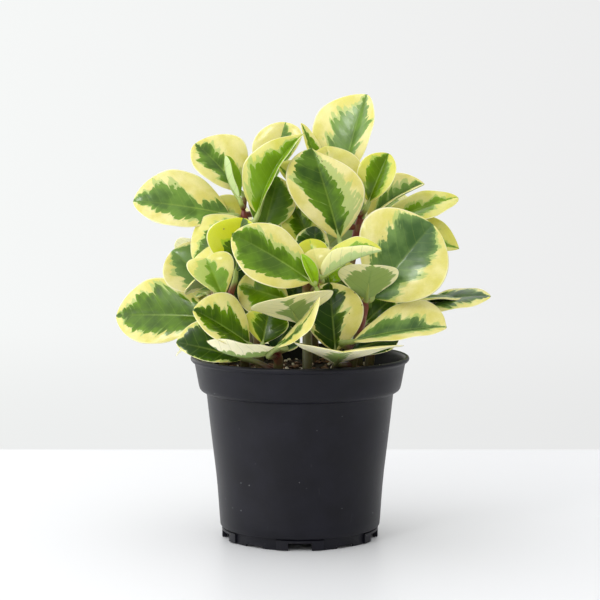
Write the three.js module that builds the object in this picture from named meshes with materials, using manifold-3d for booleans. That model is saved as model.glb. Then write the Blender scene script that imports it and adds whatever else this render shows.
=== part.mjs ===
// A potted peperomia with variegated leaves, in a black nursery pot, in millimetres, +Z up.
// The origin is on the pot's axis, at the level of its feet. The front is towards -Y.
import * as THREE from "three";
import { mergeVertices } from "three/addons/utils/BufferGeometryUtils.js";
import Module from "manifold-3d";

const wasm = await Module();
wasm.setup();

// Pot: thin moulded plastic with a wider band under a rolled lip, and a floor plate above its feet.
const ROUND_STEPS = 36;
const POT_OUTSIDE = [
  [0, 4.5], [40.6, 4.5], [40.6, 0], [41.8, 0], [42.2, 6], [44, 6.8], [44.9, 19.3],
  [46.3, 36], [48.3, 52.7], [51.4, 80.3], [54.6, 81.7], [55.7, 84.5], [57.9, 96.6],
  [59.4, 97.3], [60, 98.7], [58.9, 100],
];
const POT_INSIDE = [
  [57.4, 99.4], [56.6, 96.4], [54.4, 84.6], [53.8, 83.2], [50.4, 81.8], [50.1, 80], [47.1, 52.7],
  [45.1, 36], [43.7, 19.3], [42.7, 9.4], [41, 6.6], [39, 6], [0, 6],
];
const SLOT_COUNT = 5;
const SLOT_WIDTH = 12.6;
const SLOT_TOP = 4.2;
const SLOT_INNER_RADIUS = 36;
const SLOT_OUTER_RADIUS = 46;
const SMALL_GAP_WIDTH = 11;
const SMALL_GAP_TOP = 1.3;
const FRAME_WIDTH = 26;
const FRAME_ROUND_STEPS = 4;
const FRAME_BOTTOM = 0.4;
const FRAME_RADII = [41.1, 43.2];
const FRAME_TOP = 5.3;
const DRAIN_RADIUS = 4;
const DRAIN_RING = 24;
const BELOW_POT = -2;
const ABOVE_FLOOR = 9;

// Soil: a filled body just clear of the pot, with a lumpy top.
const SOIL_SIDE = [
  [0, 6.4], [38.8, 6.4], [40.6, 7], [42.2, 9.6], [43.2, 19.4], [44.6, 36], [46.6, 52.7],
  [49.6, 80], [49.9, 82.3], [53.3, 83.7], [53.9, 84.8],
];
const SOIL_TOP = [[54.9, 89.5], [49, 91], [39, 91.5], [27, 91.8], [14, 92], [0, 92]];
const SOIL_TOP_FROM = 89;
const LUMP_HEIGHT = 1.3;
const HOLE_GAP = 0.7;
const HOLE_BOTTOM = 77.4;
const HOLE_TOP = 100;
const HOLE_STEPS = 8;

// Shoots: a fleshy stem with leaf stalks and thick leaves.
const STEM_SIDES = 6;
const STEM_STEPS = 6;
const STEM_RADIUS = 2.8;
const STEM_HEIGHTS = [78, 87, 94];
const STALK_SIDES = 4;
const STALK_STEPS = 3;
const STALK_RADIUS = 1.35;
const STALK_SUNK = 3.5;
const STALK_LEAD = 6;
const STALK_LEAD_SHARE = 0.4;
const STALK_DROP = 0.45;
const STALK_DROP_RANGE = [3, 14];
const STALK_LOWEST = 95;
const STALK_NEARNESS = 0.6;
const STALK_TRIES = 100;
const STEM_TIP_LEFT = 1;
const BLADE_ROWS = [0.1, 0.36, 0.64, 0.9];
const BLADE_COLUMNS = [-1, -0.5, 0, 0.5, 1];
const BLADE_MARGIN = 0.36;
const BLADE_MIDDLE = 0.62;
const SMOOTHING = 0.06;
const PEAK = 0.52;
const POINT = 0.72;
const FOLD = 12;
const ARCH = 2;
const NOTCH = 0.12;

// Looks
const BLACK_PLASTIC = { color: "#26272b", roughness: 0.5 };
const POTTING_SOIL = { color: "#1b130d", roughness: 0.95 };
const LEAF = { color: "#7fa350", roughness: 0.35 };

// Places are written as they line up from the front, for an eye at this distance and height:
// across and up on the plane of the pot's axis, then how deep the point really lies behind it.
const EYE_DISTANCE = 1095;
const EYE_HEIGHT = 233;

function place([across, up, deep]) {
  const k = (deep + EYE_DISTANCE) / EYE_DISTANCE;
  return new THREE.Vector3(across * k, deep, EYE_HEIGHT + (up - EYE_HEIGHT) * k);
}

// Every leaf: its number, the base, the tip, the way that its upper face looks, the half widths
// left and right of the midrib, and what sets its shape apart. "fold" lifts the halves in degrees,
// "curl" goes on lifting them outwards, "arch" bows the midrib, "notch" slides the margins forward,
// "peak" is where the blade is widest and "point" how blunt its tip is.
const SHOOTS = {
  "shoot_right_high": {
    "stem": [[20, 94, 8], [24, 130, 6], [33, 177, 3]],
    "leaves": [
      ["L31", [46, 168, 8], [87, 158.5, 14], [0.2, -0.8, 0.6], [15, 7], {"fold": [8, 8], "point": 0.9}],
      ["L1", [23, 194, 14], [36.3, 242.5, 21], [-0.45, -0.85, 0.3], [26, 17.5],
       {"fold": [5, 30], "point": 0.75}],
      ["L2", [20, 177, 3], [14, 214.5, 6], [0.1, -0.9, 0.3], [17, 18],
       {"fold": [10, 10], "arch": 3, "point": 0.8}],
      ["L3", [21.5, 163.5, -14], [6.5, 213.5, -8], [0.1, -0.95, 0.2], [20, 20.5],
       {"fold": [8, 8], "arch": 3, "peak": [0.62, 0.42], "point": [0.55, 1.3]}],
      ["L28", [37.5, 184, -3], [48.3, 210.5, -1], [-0.1, -0.95, 0.2], [12.5, 12], {"fold": [12, 40]}],
      ["L29", [37, 175, 6], [68, 193.8, 14], [-0.1, -0.6, 0.8], [14.5, 12], {"fold": [25, 45]}],
      ["L30", [42, 170, 12], [86.3, 186.5, 22], [-0.1, -0.5, 0.85], [11, 14], {"fold": [20, 8]}],
      ["L42", [8, 158, 4], [-5, 184, 9], [0, -0.8, 0.5], [12, 12], {"fold": [8, 8]}],
      ["F3", [22, 122, -4], [24, 152, -8], [0, -0.95, 0.3], [14, 14], {"fold": [8, 8]}],
      ["L44", [8, 187, 5], [-12, 204.5, 6], [0.1, -0.9, 0.4], [4, 10], {"fold": [8, 8], "arch": 0}],
      ["L45", [13, 192, 14], [0.5, 227, 18], [0.4, -0.9, 0.2], [3, 5], {"fold": [10, 20]}],
    ],
  },
  "shoot_left_high": {
    "stem": [[-22, 94, 10], [-25, 125, 6], [-31, 181, -3]],
    "leaves": [
      ["L10", [-22, 169, -14], [-58.5, 152.5, -20.5], [-0.35, -0.62, 0.7], [15, 19],
       {"fold": [5, 12], "arch": 5}],
      ["L4", [-23, 177, -8], [2.3, 221.3, -2], [-0.64, -0.77, 0.1], [16.5, 12],
       {"fold": [35, 45], "arch": 6, "peak": [0.38, 0.5], "point": 1.0}],
      ["L5", [-16, 186, 13], [-8, 227.5, 19], [-0.2, -0.9, 0.3], [15.5, 11.5],
       {"fold": [8, 8], "arch": 0, "peak": [0.6, 0.8]}],
      ["L6", [-33, 190, -2], [-57, 216, 6], [0, -0.7, 0.7], [14, 21], {"fold": [15, 5]}],
      ["L7", [-33, 186, -8], [-40.5, 209.3, -9], [0.95, -0.25, 0.3], [5, 8],
       {"fold": [60, 45], "arch": -2.5}],
      ["L8", [-38.5, 177, -3], [-91, 184.5, -3], [0, -0.84, 0.54], [15, 21.5], {"fold": [12, 6]}],
      ["L9", [-33, 169, 2], [-47, 186, 8], [0, -0.8, 0.6], [10.5, 10.5], {"fold": [8, 8]}],
      ["F1", [-28, 118, 3], [-36, 147, -3], [0, -0.92, 0.4], [16, 16], {"fold": [8, 8]}],
      ["L43", [-20, 168, -2], [-12, 198, 2], [0.2, -0.95, 0.2], [13.5, 13.5],
       {"fold": [8, 8], "arch": 0}],
    ],
  },
  "shoot_left_low": {
    "stem": [[-30, 94, -15], [-33, 112, -24], [-38, 134, -35]],
    "leaves": [
      ["L11", [-35, 146, -34], [-31, 175.5, -33], [-0.15, -0.9, 0.35], [17.5, 16],
       {"fold": [12, 30]}],
      ["L12", [-42, 132, -47], [-51.5, 153.5, -45], [0.1, -0.95, 0.25], [11.5, 13],
       {"fold": [5, 18], "notch": [0.8, 0.42]}],
    ],
  },
  "shoot_left": {
    "stem": [[-42, 94, 8], [-44, 115, 4], [-46, 132, 2]],
    "leaves": [
      ["L14", [-50, 121, 0], [-100.8, 121.7, 17], [0, -0.9, 0.42], [18, 21.5],
       {"fold": 8, "peak": 0.5, "point": 0.78}],
      ["L13", [-48, 136, 4], [-70, 157.5, 8], [0, -0.85, 0.5], [17, 17], {"fold": [8, 8]}],
      ["L15", [-40, 127, 14], [-64, 137.5, 24], [0, -0.8, 0.5], [8.5, 8.5], {"fold": 8}],
      ["G1", [-52, 134, 12], [-63, 132, 47], [-0.85, 0, 0.5], [13, 12], {}],
      ["G2", [-50, 112, 10], [-64, 104, 34], [-0.85, 0, 0.5], [13, 12], {}],
      ["G3", [-50, 139, -2], [-57, 142, -29], [-0.85, 0, 0.5], [11, 11], {}],
    ],
  },
  "shoot_front_left": {
    "stem": [[-12, 94, -38], [-12, 98, -41], [-14, 104, -45]],
    "leaves": [
      ["L16", [-28, 106, -50], [-58.8, 125, -58], [0.1, -0.8, 0.45], [17, 17.5], {"fold": [40, 5]}],
      ["L37", [-20.5, 106.5, -44], [-17, 124.5, -36], [0, -1, 0.2], [12, 12], {"fold": [10, 10]}],
      ["L38", [-14, 102, -36], [-6, 116.5, -35], [0, -1, 0.2], [10, 10], {"fold": [8, 8]}],
      ["L36", [-31, 98, -34], [-68, 107, -34], [0, -0.9, 0.4], [7, 16], {"fold": [8, 8]}],
      ["L23", [-11.5, 104, -52], [-51, 107.5, -66], [0, -0.1, 1], [16, 14],
       {"fold": [35, 8], "arch": -6}],
      ["L22", [-14, 103.5, -57.5], [10.8, 131.5, -77.5], [-0.55, -0.6, 0.55], [12, 8.8],
       {"fold": [-26, 5], "arch": -3, "peak": [0.5, 0.62]}],
    ],
  },
  "shoot_centre_front": {
    "stem": [[4, 94, -22], [4, 120, -20], [4, 140, -24], [6, 147, -36], [8, 143, -48]],
    "leaves": [
      ["L17", [-6, 130, -28], [-34, 138.5, -27], [0, -0.97, 0.25], [13, 13], {"fold": [8, 8]}],
      ["L18", [6, 140.5, -52], [-37, 166.3, -57], [0.25, -0.82, 0.5], [19.5, 16.5], {"fold": [8, 8]}],
      ["L19", [9, 137, -50], [0.8, 155.8, -52], [0.3, -0.9, 0.2], [3.5, 4], {"fold": [30, 30]}],
      ["L20", [12.5, 143.5, -48], [44.8, 157.6, -60], [-0.1, -0.3, 0.93], [13.5, 10],
       {"fold": [40, 50], "curl": [0, 45], "peak": [0.42, 0.36]}],
      ["L21", [-1, 118, -41], [-9, 131.5, -68], [-0.25, 0.3, 0.9], [25.5, 19],
       {"fold": [-8, 5], "notch": 0.45}],
      ["L40", [11.5, 143, -42], [7, 158.5, -38], [0, -0.9, 0.3], [8, 10], {"fold": 8}],
      ["L41", [9, 144, -22], [8, 171, -3], [0, -0.85, 0.5], [11, 7.5], {"fold": [8, 8]}],
      ["F2", [3, 112, -12], [-6, 141, -13], [0, -0.95, 0.3], [17, 17], {"fold": [8, 8]}],
      ["L46", [8, 146, -32], [5, 164, -28], [0, -0.9, 0.3], [9, 9], {"fold": [8, 8]}],
      ["L47", [17, 139, -27], [22, 149, -25], [0, -0.9, 0.3], [4, 4.5], {"fold": [8, 8]}],
    ],
  },
  "shoot_front_right": {
    "stem": [[28, 94, -25], [31, 106, -29], [36, 130, -28]],
    "leaves": [
      ["L24", [20, 95.5, -40], [24, 101.5, -76], [0, 0, 1], [32.5, 26],
       {"fold": 0, "curl": [12, 25], "notch": 0.3}],
      ["L25", [19.5, 102, -37], [16, 140, -31], [0, -0.95, 0.3], [15, 17], {"fold": 8}],
      ["L26", [36.5, 131, -30], [39.5, 149.5, -54], [0, 0.5, 0.8], [15.5, 17], {"fold": [8, 8]}],
      ["L27", [40, 132, -28], [72.5, 172, -22], [0, -0.9, 0.45], [30, 26],
       {"fold": [5, 8], "peak": [0.55, 0.46], "point": [0.7, 0.75]}],
      ["L34", [29, 107.5, -42], [80.5, 115.3, -38], [0, -0.5, 0.87], [20, 16],
       {"fold": [15, 22], "peak": [0.68, 0.5], "point": [0.45, 0.72]}],
      ["L35", [28, 102, -36], [54, 109, -30], [0, -0.8, 0.5], [6, 7], {"fold": [8, 8]}],
      ["L39", [36, 118, -20], [52, 132, -16], [0, -0.9, 0.4], [8, 8], {"fold": [8, 8]}],
    ],
  },
  "shoot_right": {
    "stem": [[38, 94, 5], [41, 115, 2], [46, 131, 0]],
    "leaves": [
      ["H3", [50, 141, 10], [60, 150, -17], [0.85, 0, 0.5], [12, 12], {}],
      ["H4", [51, 136, 8], [61, 136, 38], [0.85, 0, 0.5], [13, 12], {}],
      ["H5", [50, 121, 4], [60, 119, 24], [0.8, -0.1, 0.6], [13, 11], {}],
      ["L32", [62, 125.5, -3], [104.5, 132.3, -12], [0, -0.31, 0.95], [15, 15], {"fold": 0}],
      ["L33", [48, 128.5, -6], [96.7, 130.5, -8], [0, -0.1, 1], [9, 8], {"fold": [0, 5]}],
    ],
  },
  "shoot_back_centre": {
    "stem": [[8, 94, 38], [7, 125, 36], [6, 160, 31]],
    "leaves": [
      ["J1", [14, 174, 28], [28, 210, 42], [0.2, 0.9, 0.3], [16, 17], {}],
      ["J2", [2, 162, 34], [-26, 193, 55], [-0.2, 0.85, 0.5], [17, 17], {}],
      ["J3", [14, 160, 36], [44, 182, 56], [0.2, 0.85, 0.5], [17, 17], {}],
      ["J4", [4, 146, 38], [-4, 158, 75], [0, 0.6, 0.8], [17, 17], {}],
      ["J5", [10, 140, 40], [12, 146, 76], [0.1, 0.4, 0.9], [17, 17], {}],
      ["J6", [2, 128, 40], [-14, 124, 74], [-0.2, 0.6, 0.8], [16, 16], {}],
      ["J7", [5, 132, 28], [-3, 148, -6], [0.3, -0.3, 0.9], [14, 14], {}],
      ["J8", [3, 112, 28], [-4, 118, -8], [-0.4, 0, 0.9], [14, 14], {}],
    ],
  },
  "shoot_back_left": {
    "stem": [[-25, 94, 28], [-27, 120, 29], [-31, 154, 27]],
    "leaves": [
      ["K1", [-30, 158, 28], [-52, 184, 44], [-0.4, 0.8, 0.4], [17, 17], {}],
      ["K2", [-36, 150, 26], [-68, 158, 50], [-0.3, 0.6, 0.75], [15, 15], {}],
      ["K3", [-36, 122, 32], [-72, 112, 56], [-0.4, 0.6, 0.7], [15, 15], {}],
      ["K4", [-26, 140, 36], [-38, 150, 74], [-0.2, 0.7, 0.7], [18, 18], {}],
      ["K5", [-28, 115, 34], [-56, 108, 60], [-0.3, 0.5, 0.8], [16, 16], {}],
      ["K6", [-16, 112, 38], [-12, 104, 76], [0, 0.4, 0.9], [17, 17], {}],
    ],
  },
  "shoot_back_right": {
    "stem": [[32, 94, 28], [35, 120, 27], [38, 160, 25]],
    "leaves": [
      ["M1", [36, 165, 26], [62, 184, 42], [0.4, 0.8, 0.4], [16, 16], {}],
      ["M2", [42, 150, 28], [80, 158, 46], [0.4, 0.6, 0.6], [16, 16], {}],
      ["M3", [42, 134, 30], [56, 146, 70], [0.2, 0.6, 0.7], [16, 16], {}],
      ["M4", [44, 118, 28], [76, 121, 54], [0.3, 0.5, 0.8], [15, 15], {}],
      ["M5", [36, 118, 34], [62, 110, 64], [0.3, 0.5, 0.8], [16, 16], {}],
      ["M6", [22, 110, 38], [24, 102, 76], [0.1, 0.4, 0.9], [17, 17], {}],
    ],
  },
};

// Solids
function toSolid(geometry) {
  geometry.deleteAttribute("normal");
  geometry.deleteAttribute("uv");
  const merged = mergeVertices(geometry, 1e-4);
  const mesh = new wasm.Mesh({
    numProp: 3,
    vertProperties: Float32Array.from(merged.attributes.position.array),
    triVerts: Uint32Array.from(merged.index.array),
  });
  return new wasm.Manifold(mesh);
}

function toMesh(solid, name, look) {
  const { vertProperties, triVerts } = solid.getMesh();
  const geometry = new THREE.BufferGeometry();
  geometry.setAttribute("position", new THREE.BufferAttribute(Float32Array.from(vertProperties), 3));
  geometry.setIndex(new THREE.BufferAttribute(Uint32Array.from(triVerts), 1));
  geometry.computeVertexNormals();
  const material = new THREE.MeshStandardMaterial({ ...look, metalness: 0 });
  const mesh = new THREE.Mesh(geometry, material);
  mesh.name = name;
  return mesh;
}

function turned(profile, steps) {
  const points = profile.map(([radius, height]) => new THREE.Vector2(radius, height));
  const geometry = new THREE.LatheGeometry(points, steps);
  geometry.rotateX(Math.PI / 2);
  return geometry;
}

function box(across, deep, bottom, top, middle, angle) {
  const geometry = new THREE.BoxGeometry(deep, across, top - bottom);
  geometry.translate(middle, 0, (top + bottom) / 2);
  geometry.rotateZ(angle);
  return toSolid(geometry);
}

function cylinder(x, y, bottom, top, radius) {
  const geometry = new THREE.CylinderGeometry(radius, radius, top - bottom, HOLE_STEPS);
  geometry.rotateX(Math.PI / 2);
  geometry.translate(x, y, (top + bottom) / 2);
  return toSolid(geometry);
}

function tube(points, radius, sides, steps) {
  const ring = [];
  for (let side = 0; side < sides; side += 1) {
    const angle = (2 * Math.PI * side) / sides;
    ring.push(new THREE.Vector2(radius * Math.cos(angle), radius * Math.sin(angle)));
  }
  const path = new THREE.CatmullRomCurve3(points, false, "centripetal");
  return toSolid(new THREE.ExtrudeGeometry(new THREE.Shape(ring), { steps, extrudePath: path }));
}

// The pot, with its drain slots between raised frames
function potFrame(angle) {
  const half = FRAME_WIDTH / 2 / FRAME_RADII[1];
  const shape = new THREE.Shape();
  shape.absarc(0, 0, FRAME_RADII[1], angle - half, angle + half, false);
  shape.absarc(0, 0, FRAME_RADII[0], angle + half, angle - half, true);
  const geometry = new THREE.ExtrudeGeometry(shape, {
    depth: FRAME_TOP - FRAME_BOTTOM,
    bevelEnabled: false,
    curveSegments: FRAME_ROUND_STEPS,
  });
  geometry.translate(0, 0, FRAME_BOTTOM);
  return toSolid(geometry);
}

function makePot() {
  let pot = toSolid(turned([...POT_OUTSIDE, ...POT_INSIDE], ROUND_STEPS));
  const slotMiddle = (SLOT_INNER_RADIUS + SLOT_OUTER_RADIUS) / 2;
  const slotDepth = SLOT_OUTER_RADIUS - SLOT_INNER_RADIUS;
  for (let slot = 0; slot < SLOT_COUNT; slot += 1) {
    const angle = (2 * Math.PI * slot) / SLOT_COUNT - Math.PI / 2;
    const between = angle + Math.PI / SLOT_COUNT;
    pot = pot.add(potFrame(angle));
    pot = pot.subtract(box(SLOT_WIDTH, slotDepth, BELOW_POT, SLOT_TOP, slotMiddle, angle));
    pot = pot.subtract(box(SMALL_GAP_WIDTH, slotDepth, BELOW_POT, SMALL_GAP_TOP, slotMiddle, between));
    const x = DRAIN_RING * Math.cos(between);
    const y = DRAIN_RING * Math.sin(between);
    pot = pot.subtract(cylinder(x, y, BELOW_POT, ABOVE_FLOOR, DRAIN_RADIUS));
  }
  return pot.simplify(SMOOTHING);
}

// The soil, with a plain hole for the foot of every stem
function lump(x, y) {
  const broad = Math.sin(0.31 * x + 1.7) * Math.cos(0.27 * y - 0.6);
  const small = Math.sin(0.83 * x - 0.52 * y) * Math.cos(0.71 * y + 0.44 * x + 0.9);
  return LUMP_HEIGHT * (0.55 * broad + 0.45 * small);
}

function makeSoil(feet) {
  const geometry = turned([...SOIL_SIDE, ...SOIL_TOP], ROUND_STEPS);
  const spots = geometry.attributes.position;
  for (let i = 0; i < spots.count; i += 1) {
    const z = spots.getZ(i);
    if (z > SOIL_TOP_FROM) {
      spots.setZ(i, z + lump(spots.getX(i), spots.getY(i)));
    }
  }
  let soil = toSolid(geometry);
  for (const foot of feet) {
    const hole = cylinder(foot.x, foot.y, HOLE_BOTTOM, HOLE_TOP, STEM_RADIUS + HOLE_GAP);
    soil = soil.subtract(hole);
  }
  return soil.simplify(SMOOTHING);
}

// A leaf blade: two faces with the same split, and a margin between them
function pair(value, usual) {
  const given = value ?? usual;
  return Array.isArray(given) ? given : [given, given];
}

function halfWidth(t, peak, point) {
  const lead = (point * peak) / (1 - peak);
  return (t / peak) ** lead * ((1 - t) / (1 - peak)) ** point;
}

function readLeaf([, baseRow, tipRow, faceRow, widths, more]) {
  const base = place(baseRow);
  const tip = place(tipRow);
  const axis = tip.clone().sub(base);
  const length = axis.length();
  axis.normalize();
  const face = new THREE.Vector3(...faceRow);
  face.addScaledVector(axis, -face.dot(axis)).normalize();
  const side = new THREE.Vector3().crossVectors(axis, face);
  return {
    base, length, axis, face, side, widths,
    fold: pair(more.fold, FOLD),
    curl: pair(more.curl, 0),
    peak: pair(more.peak, PEAK),
    point: pair(more.point, POINT),
    arch: more.arch ?? ARCH,
    notch: pair(more.notch, NOTCH),
  };
}

function bladePoint(leaf, t, u, lift) {
  const half = u < 0 ? 0 : 1;
  const sign = u < 0 ? -1 : 1;
  const out = Math.abs(u);
  const inside = t > 0 && t < 1;
  const width = inside ? leaf.widths[half] * halfWidth(t, leaf.peak[half], leaf.point[half]) : 0;
  const fold = THREE.MathUtils.degToRad(leaf.fold[half]);
  const curl = THREE.MathUtils.degToRad(leaf.curl[half]);
  const turn = fold + curl * out;
  let run = out * Math.cos(fold);
  let rise = out * Math.sin(fold);
  if (curl > 0) {
    run = (Math.sin(turn) - Math.sin(fold)) / curl;
    rise = (Math.cos(fold) - Math.cos(turn)) / curl;
  }
  const along = t * leaf.length + leaf.notch[half] * width * out;
  const bow = 4 * (along / leaf.length) * (1 - along / leaf.length);
  const tilt = out > 0 ? turn : 0;
  const point = leaf.base.clone();
  point.addScaledVector(leaf.axis, along);
  point.addScaledVector(leaf.face, leaf.arch * bow + width * rise + lift * Math.cos(tilt));
  point.addScaledVector(leaf.side, sign * (width * run - lift * Math.sin(tilt)));
  return point;
}

function makeBlade(leaf) {
  const positions = [];
  const triangles = [];
  const columns = BLADE_COLUMNS.length;
  const faceSize = BLADE_ROWS.length * columns + 2;
  for (const way of [1, -1]) {
    positions.push(bladePoint(leaf, 0, 0, way * BLADE_MIDDLE));
    for (const t of BLADE_ROWS) {
      for (const u of BLADE_COLUMNS) {
        const thick = BLADE_MIDDLE + (BLADE_MARGIN - BLADE_MIDDLE) * Math.abs(u);
        positions.push(bladePoint(leaf, t, u, way * thick));
      }
    }
    positions.push(bladePoint(leaf, 1, 0, way * BLADE_MARGIN));
  }
  const spot = (row, column) => {
    if (row < 0) return 0;
    if (row >= BLADE_ROWS.length) return faceSize - 1;
    return 1 + row * columns + column;
  };
  const add = (a, b, c) => {
    triangles.push(a, b, c, faceSize + a, faceSize + c, faceSize + b);
  };
  const rim = (a, b) => {
    triangles.push(a, faceSize + a, b, b, faceSize + a, faceSize + b);
  };
  for (let row = -1; row < BLADE_ROWS.length; row += 1) {
    for (let column = 0; column < columns - 1; column += 1) {
      const near = spot(row, column);
      const far = spot(row + 1, column + 1);
      if (row >= 0) add(near, spot(row, column + 1), far);
      if (row < BLADE_ROWS.length - 1) add(near, far, spot(row + 1, column));
    }
    rim(spot(row, columns - 1), spot(row + 1, columns - 1));
    rim(spot(row + 1, 0), spot(row, 0));
  }
  const geometry = new THREE.BufferGeometry().setFromPoints(positions);
  geometry.setIndex(triangles);
  return toSolid(geometry);
}

// A shoot: the stem, a stalk from it to every leaf, and the blades
function makeStalk(path, leaf) {
  const reach = Math.hypot(leaf.base.x - path.getPoint(1).x, leaf.base.y - path.getPoint(1).y);
  const drop = THREE.MathUtils.clamp(STALK_DROP * reach, ...STALK_DROP_RANGE);
  const top = path.getPoint(1).z - STEM_TIP_LEFT;
  const wanted = Math.max(STALK_LOWEST, Math.min(top, leaf.base.z - drop));
  const miss = (spot) => Math.abs(spot.z - wanted) + STALK_NEARNESS * spot.distanceTo(leaf.base);
  let start = path.getPoint(1);
  for (let step = 0; step <= STALK_TRIES; step += 1) {
    const spot = path.getPoint(step / STALK_TRIES);
    if (miss(spot) < miss(start)) start = spot;
  }
  const gap = start.distanceTo(leaf.base);
  const leadLength = Math.min(STALK_LEAD, gap * STALK_LEAD_SHARE);
  const lead = leaf.base.clone().addScaledVector(leaf.axis, -leadLength);
  const end = leaf.base.clone().addScaledVector(leaf.axis, STALK_SUNK);
  return tube([start, lead, end], STALK_RADIUS, STALK_SIDES, STALK_STEPS);
}

function makeShoot({ stem, leaves }) {
  const [foot, ...rest] = stem.map(place);
  const points = [...STEM_HEIGHTS.map((height) => foot.clone().setZ(height)), ...rest];
  const path = new THREE.CatmullRomCurve3(points, false, "centripetal");
  let shoot = tube(points, STEM_RADIUS, STEM_SIDES, STEM_STEPS);
  for (const row of leaves) {
    const leaf = readLeaf(row);
    shoot = shoot.add(makeStalk(path, leaf));
    shoot = shoot.add(makeBlade(leaf));
  }
  return shoot.simplify(SMOOTHING);
}

// The whole plant
const plant = new THREE.Group();
const feet = Object.values(SHOOTS).map(({ stem }) => place(stem[0]));
plant.add(toMesh(makePot(), "pot", BLACK_PLASTIC));
plant.add(toMesh(makeSoil(feet), "soil", POTTING_SOIL));
for (const [name, shoot] of Object.entries(SHOOTS)) {
  plant.add(toMesh(makeShoot(shoot), name, LEAF));
}

export default plant;
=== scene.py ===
"""A potted peperomia with variegated leaves, standing on a white studio floor.

The pot is moulded black polypropylene, the soil is peat with bark and perlite, and every shoot
has a fleshy stem, leaf stalks and thick glossy blades. All sizes are in millimetres until a
mesh is made. The front is towards -Y.
"""

import math
import random
from functools import partial
from types import SimpleNamespace

import bpy
import numpy as np
from mathutils import Matrix, Vector, noise


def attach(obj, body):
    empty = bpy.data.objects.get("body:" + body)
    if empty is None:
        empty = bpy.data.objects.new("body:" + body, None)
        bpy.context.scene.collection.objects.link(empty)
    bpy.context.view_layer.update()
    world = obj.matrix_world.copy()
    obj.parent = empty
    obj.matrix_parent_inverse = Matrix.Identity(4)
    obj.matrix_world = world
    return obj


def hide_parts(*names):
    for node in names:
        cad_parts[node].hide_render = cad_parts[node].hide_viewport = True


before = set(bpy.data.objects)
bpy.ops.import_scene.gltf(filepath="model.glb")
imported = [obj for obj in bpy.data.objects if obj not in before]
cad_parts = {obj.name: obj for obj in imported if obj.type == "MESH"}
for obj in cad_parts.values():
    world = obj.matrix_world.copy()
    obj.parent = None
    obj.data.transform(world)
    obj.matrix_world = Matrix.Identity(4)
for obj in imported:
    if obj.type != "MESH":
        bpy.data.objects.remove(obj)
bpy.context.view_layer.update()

MM = 0.001

# Camera: the eye looks slightly down from the front
EYE_DISTANCE = 1095
EYE_HEIGHT = 233
EYE_PITCH = 5.35
LENS = 120.5
SENSOR = 36

# Pot
ROUND_STEPS = 144
POT_OUTSIDE = [
    (0, 4.5), (40.4, 4.5), (40.8, 4.1), (40.8, 0.3), (41.1, 0), (41.6, 0), (41.9, 0.4), (42.2, 5.7),
    (42.5, 6.1), (43.6, 6.5), (44.0, 7.1), (44.4, 12), (44.9, 19.3), (45.5, 27.5), (46.3, 36),
    (47.3, 44.3), (48.3, 52.7), (49.9, 66.5), (51.3, 79.4), (51.7, 80.3), (53.4, 80.9), (54.4, 81.5),
    (55.1, 82.5), (55.6, 84.2), (56.7, 90.3), (57.8, 96.1), (58.3, 96.9), (59.2, 97.2), (59.8, 97.9),
    (60, 98.7), (59.7, 99.5), (59, 99.95), (58.3, 99.9),
]
POT_INSIDE = [
    (57.6, 99.3), (56.9, 97.2), (56.5, 96), (54.4, 84.6), (53.9, 83.4), (52.6, 82.7), (50.8, 82.1),
    (50.2, 81), (50.0, 79.5), (47.1, 52.7), (45.1, 36), (43.7, 19.3), (42.7, 9.4), (41.8, 7.2),
    (40.4, 6.2), (39, 6), (0, 6),
]
SLOT_COUNT = 5
SLOT_WIDTH = 12.6
SLOT_TOP = 4.2
SLOT_RADII = (36, 46)
SMALL_GAP_WIDTH = 11
SMALL_GAP_TOP = 1.3
FRAME_HALF_ANGLE = 17.3
FRAME_RADII = (41.2, 43.1)
FRAME_HEIGHTS = (0.4, 5.5)
FRAME_STEPS = 12
DRAIN_RADIUS = 4
DRAIN_RING = 24
DRAIN_TOP = 9
DRAIN_STEPS = 24
CUT_FROM = -2
SHARP_ANGLE = 38

# Soil
SOIL_RADIUS = 54.6
SOIL_HEIGHT = 91.2
SOIL_RINGS = 60
SOIL_SPOKES = 150
SOIL_FLAT_RADIUS = 48
SOIL_RIM_DROP = 1.2
SOIL_SIDES = [(53.6, 84.6), (49.6, 80), (44.6, 36), (40.5, 9), (38.8, 6.6)]
# Swells, lumps and crumbs of the surface: how wide and how high they are, and a shift
SOIL_BUMPS = [(19, 1.6, (3.1, 0.4, 0)), (5.5, 1.1, (0, 0, 0)), (1.7, 0.45, (0, 0, 0))]
# A crumbly finish: its name, its dark and light colours, the size of its pattern, its roughness
SOIL_FINISH = ("peat", "#120c08", "#2b1d13", 1.3, 0.95)
# What is strewn on the soil: how many, their sizes and flatness, how far they stand out, their
# finish, and the seed of their chance draws
STREWN_INSET = 1.2
LUMP_STRETCH = ((0.8, 1.6), (0.6, 1.1))
LUMP_TILT = 0.5
LUMP_BREAK = (0.72, 1.15)
STREWN = {
    "peat_crumbs": (900, (1.2, 3.2), (0.5, 0.9), 0.1, ("peat_crumb", "#1a110b", "#3a2718", 0.9, 0.95), 11),
    "bark_bits": (190, (2.5, 6.5), (0.25, 0.5), 0.25, ("pine_bark", "#3a2416", "#7b573a", 1.2, 0.8), 12),
    "perlite_grains": (95, (1.8, 3.9), (0.7, 1.0), 0.3, ("perlite", "#cdc0a8", "#efe7d8", 0.7, 0.85), 13),
}
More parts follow.
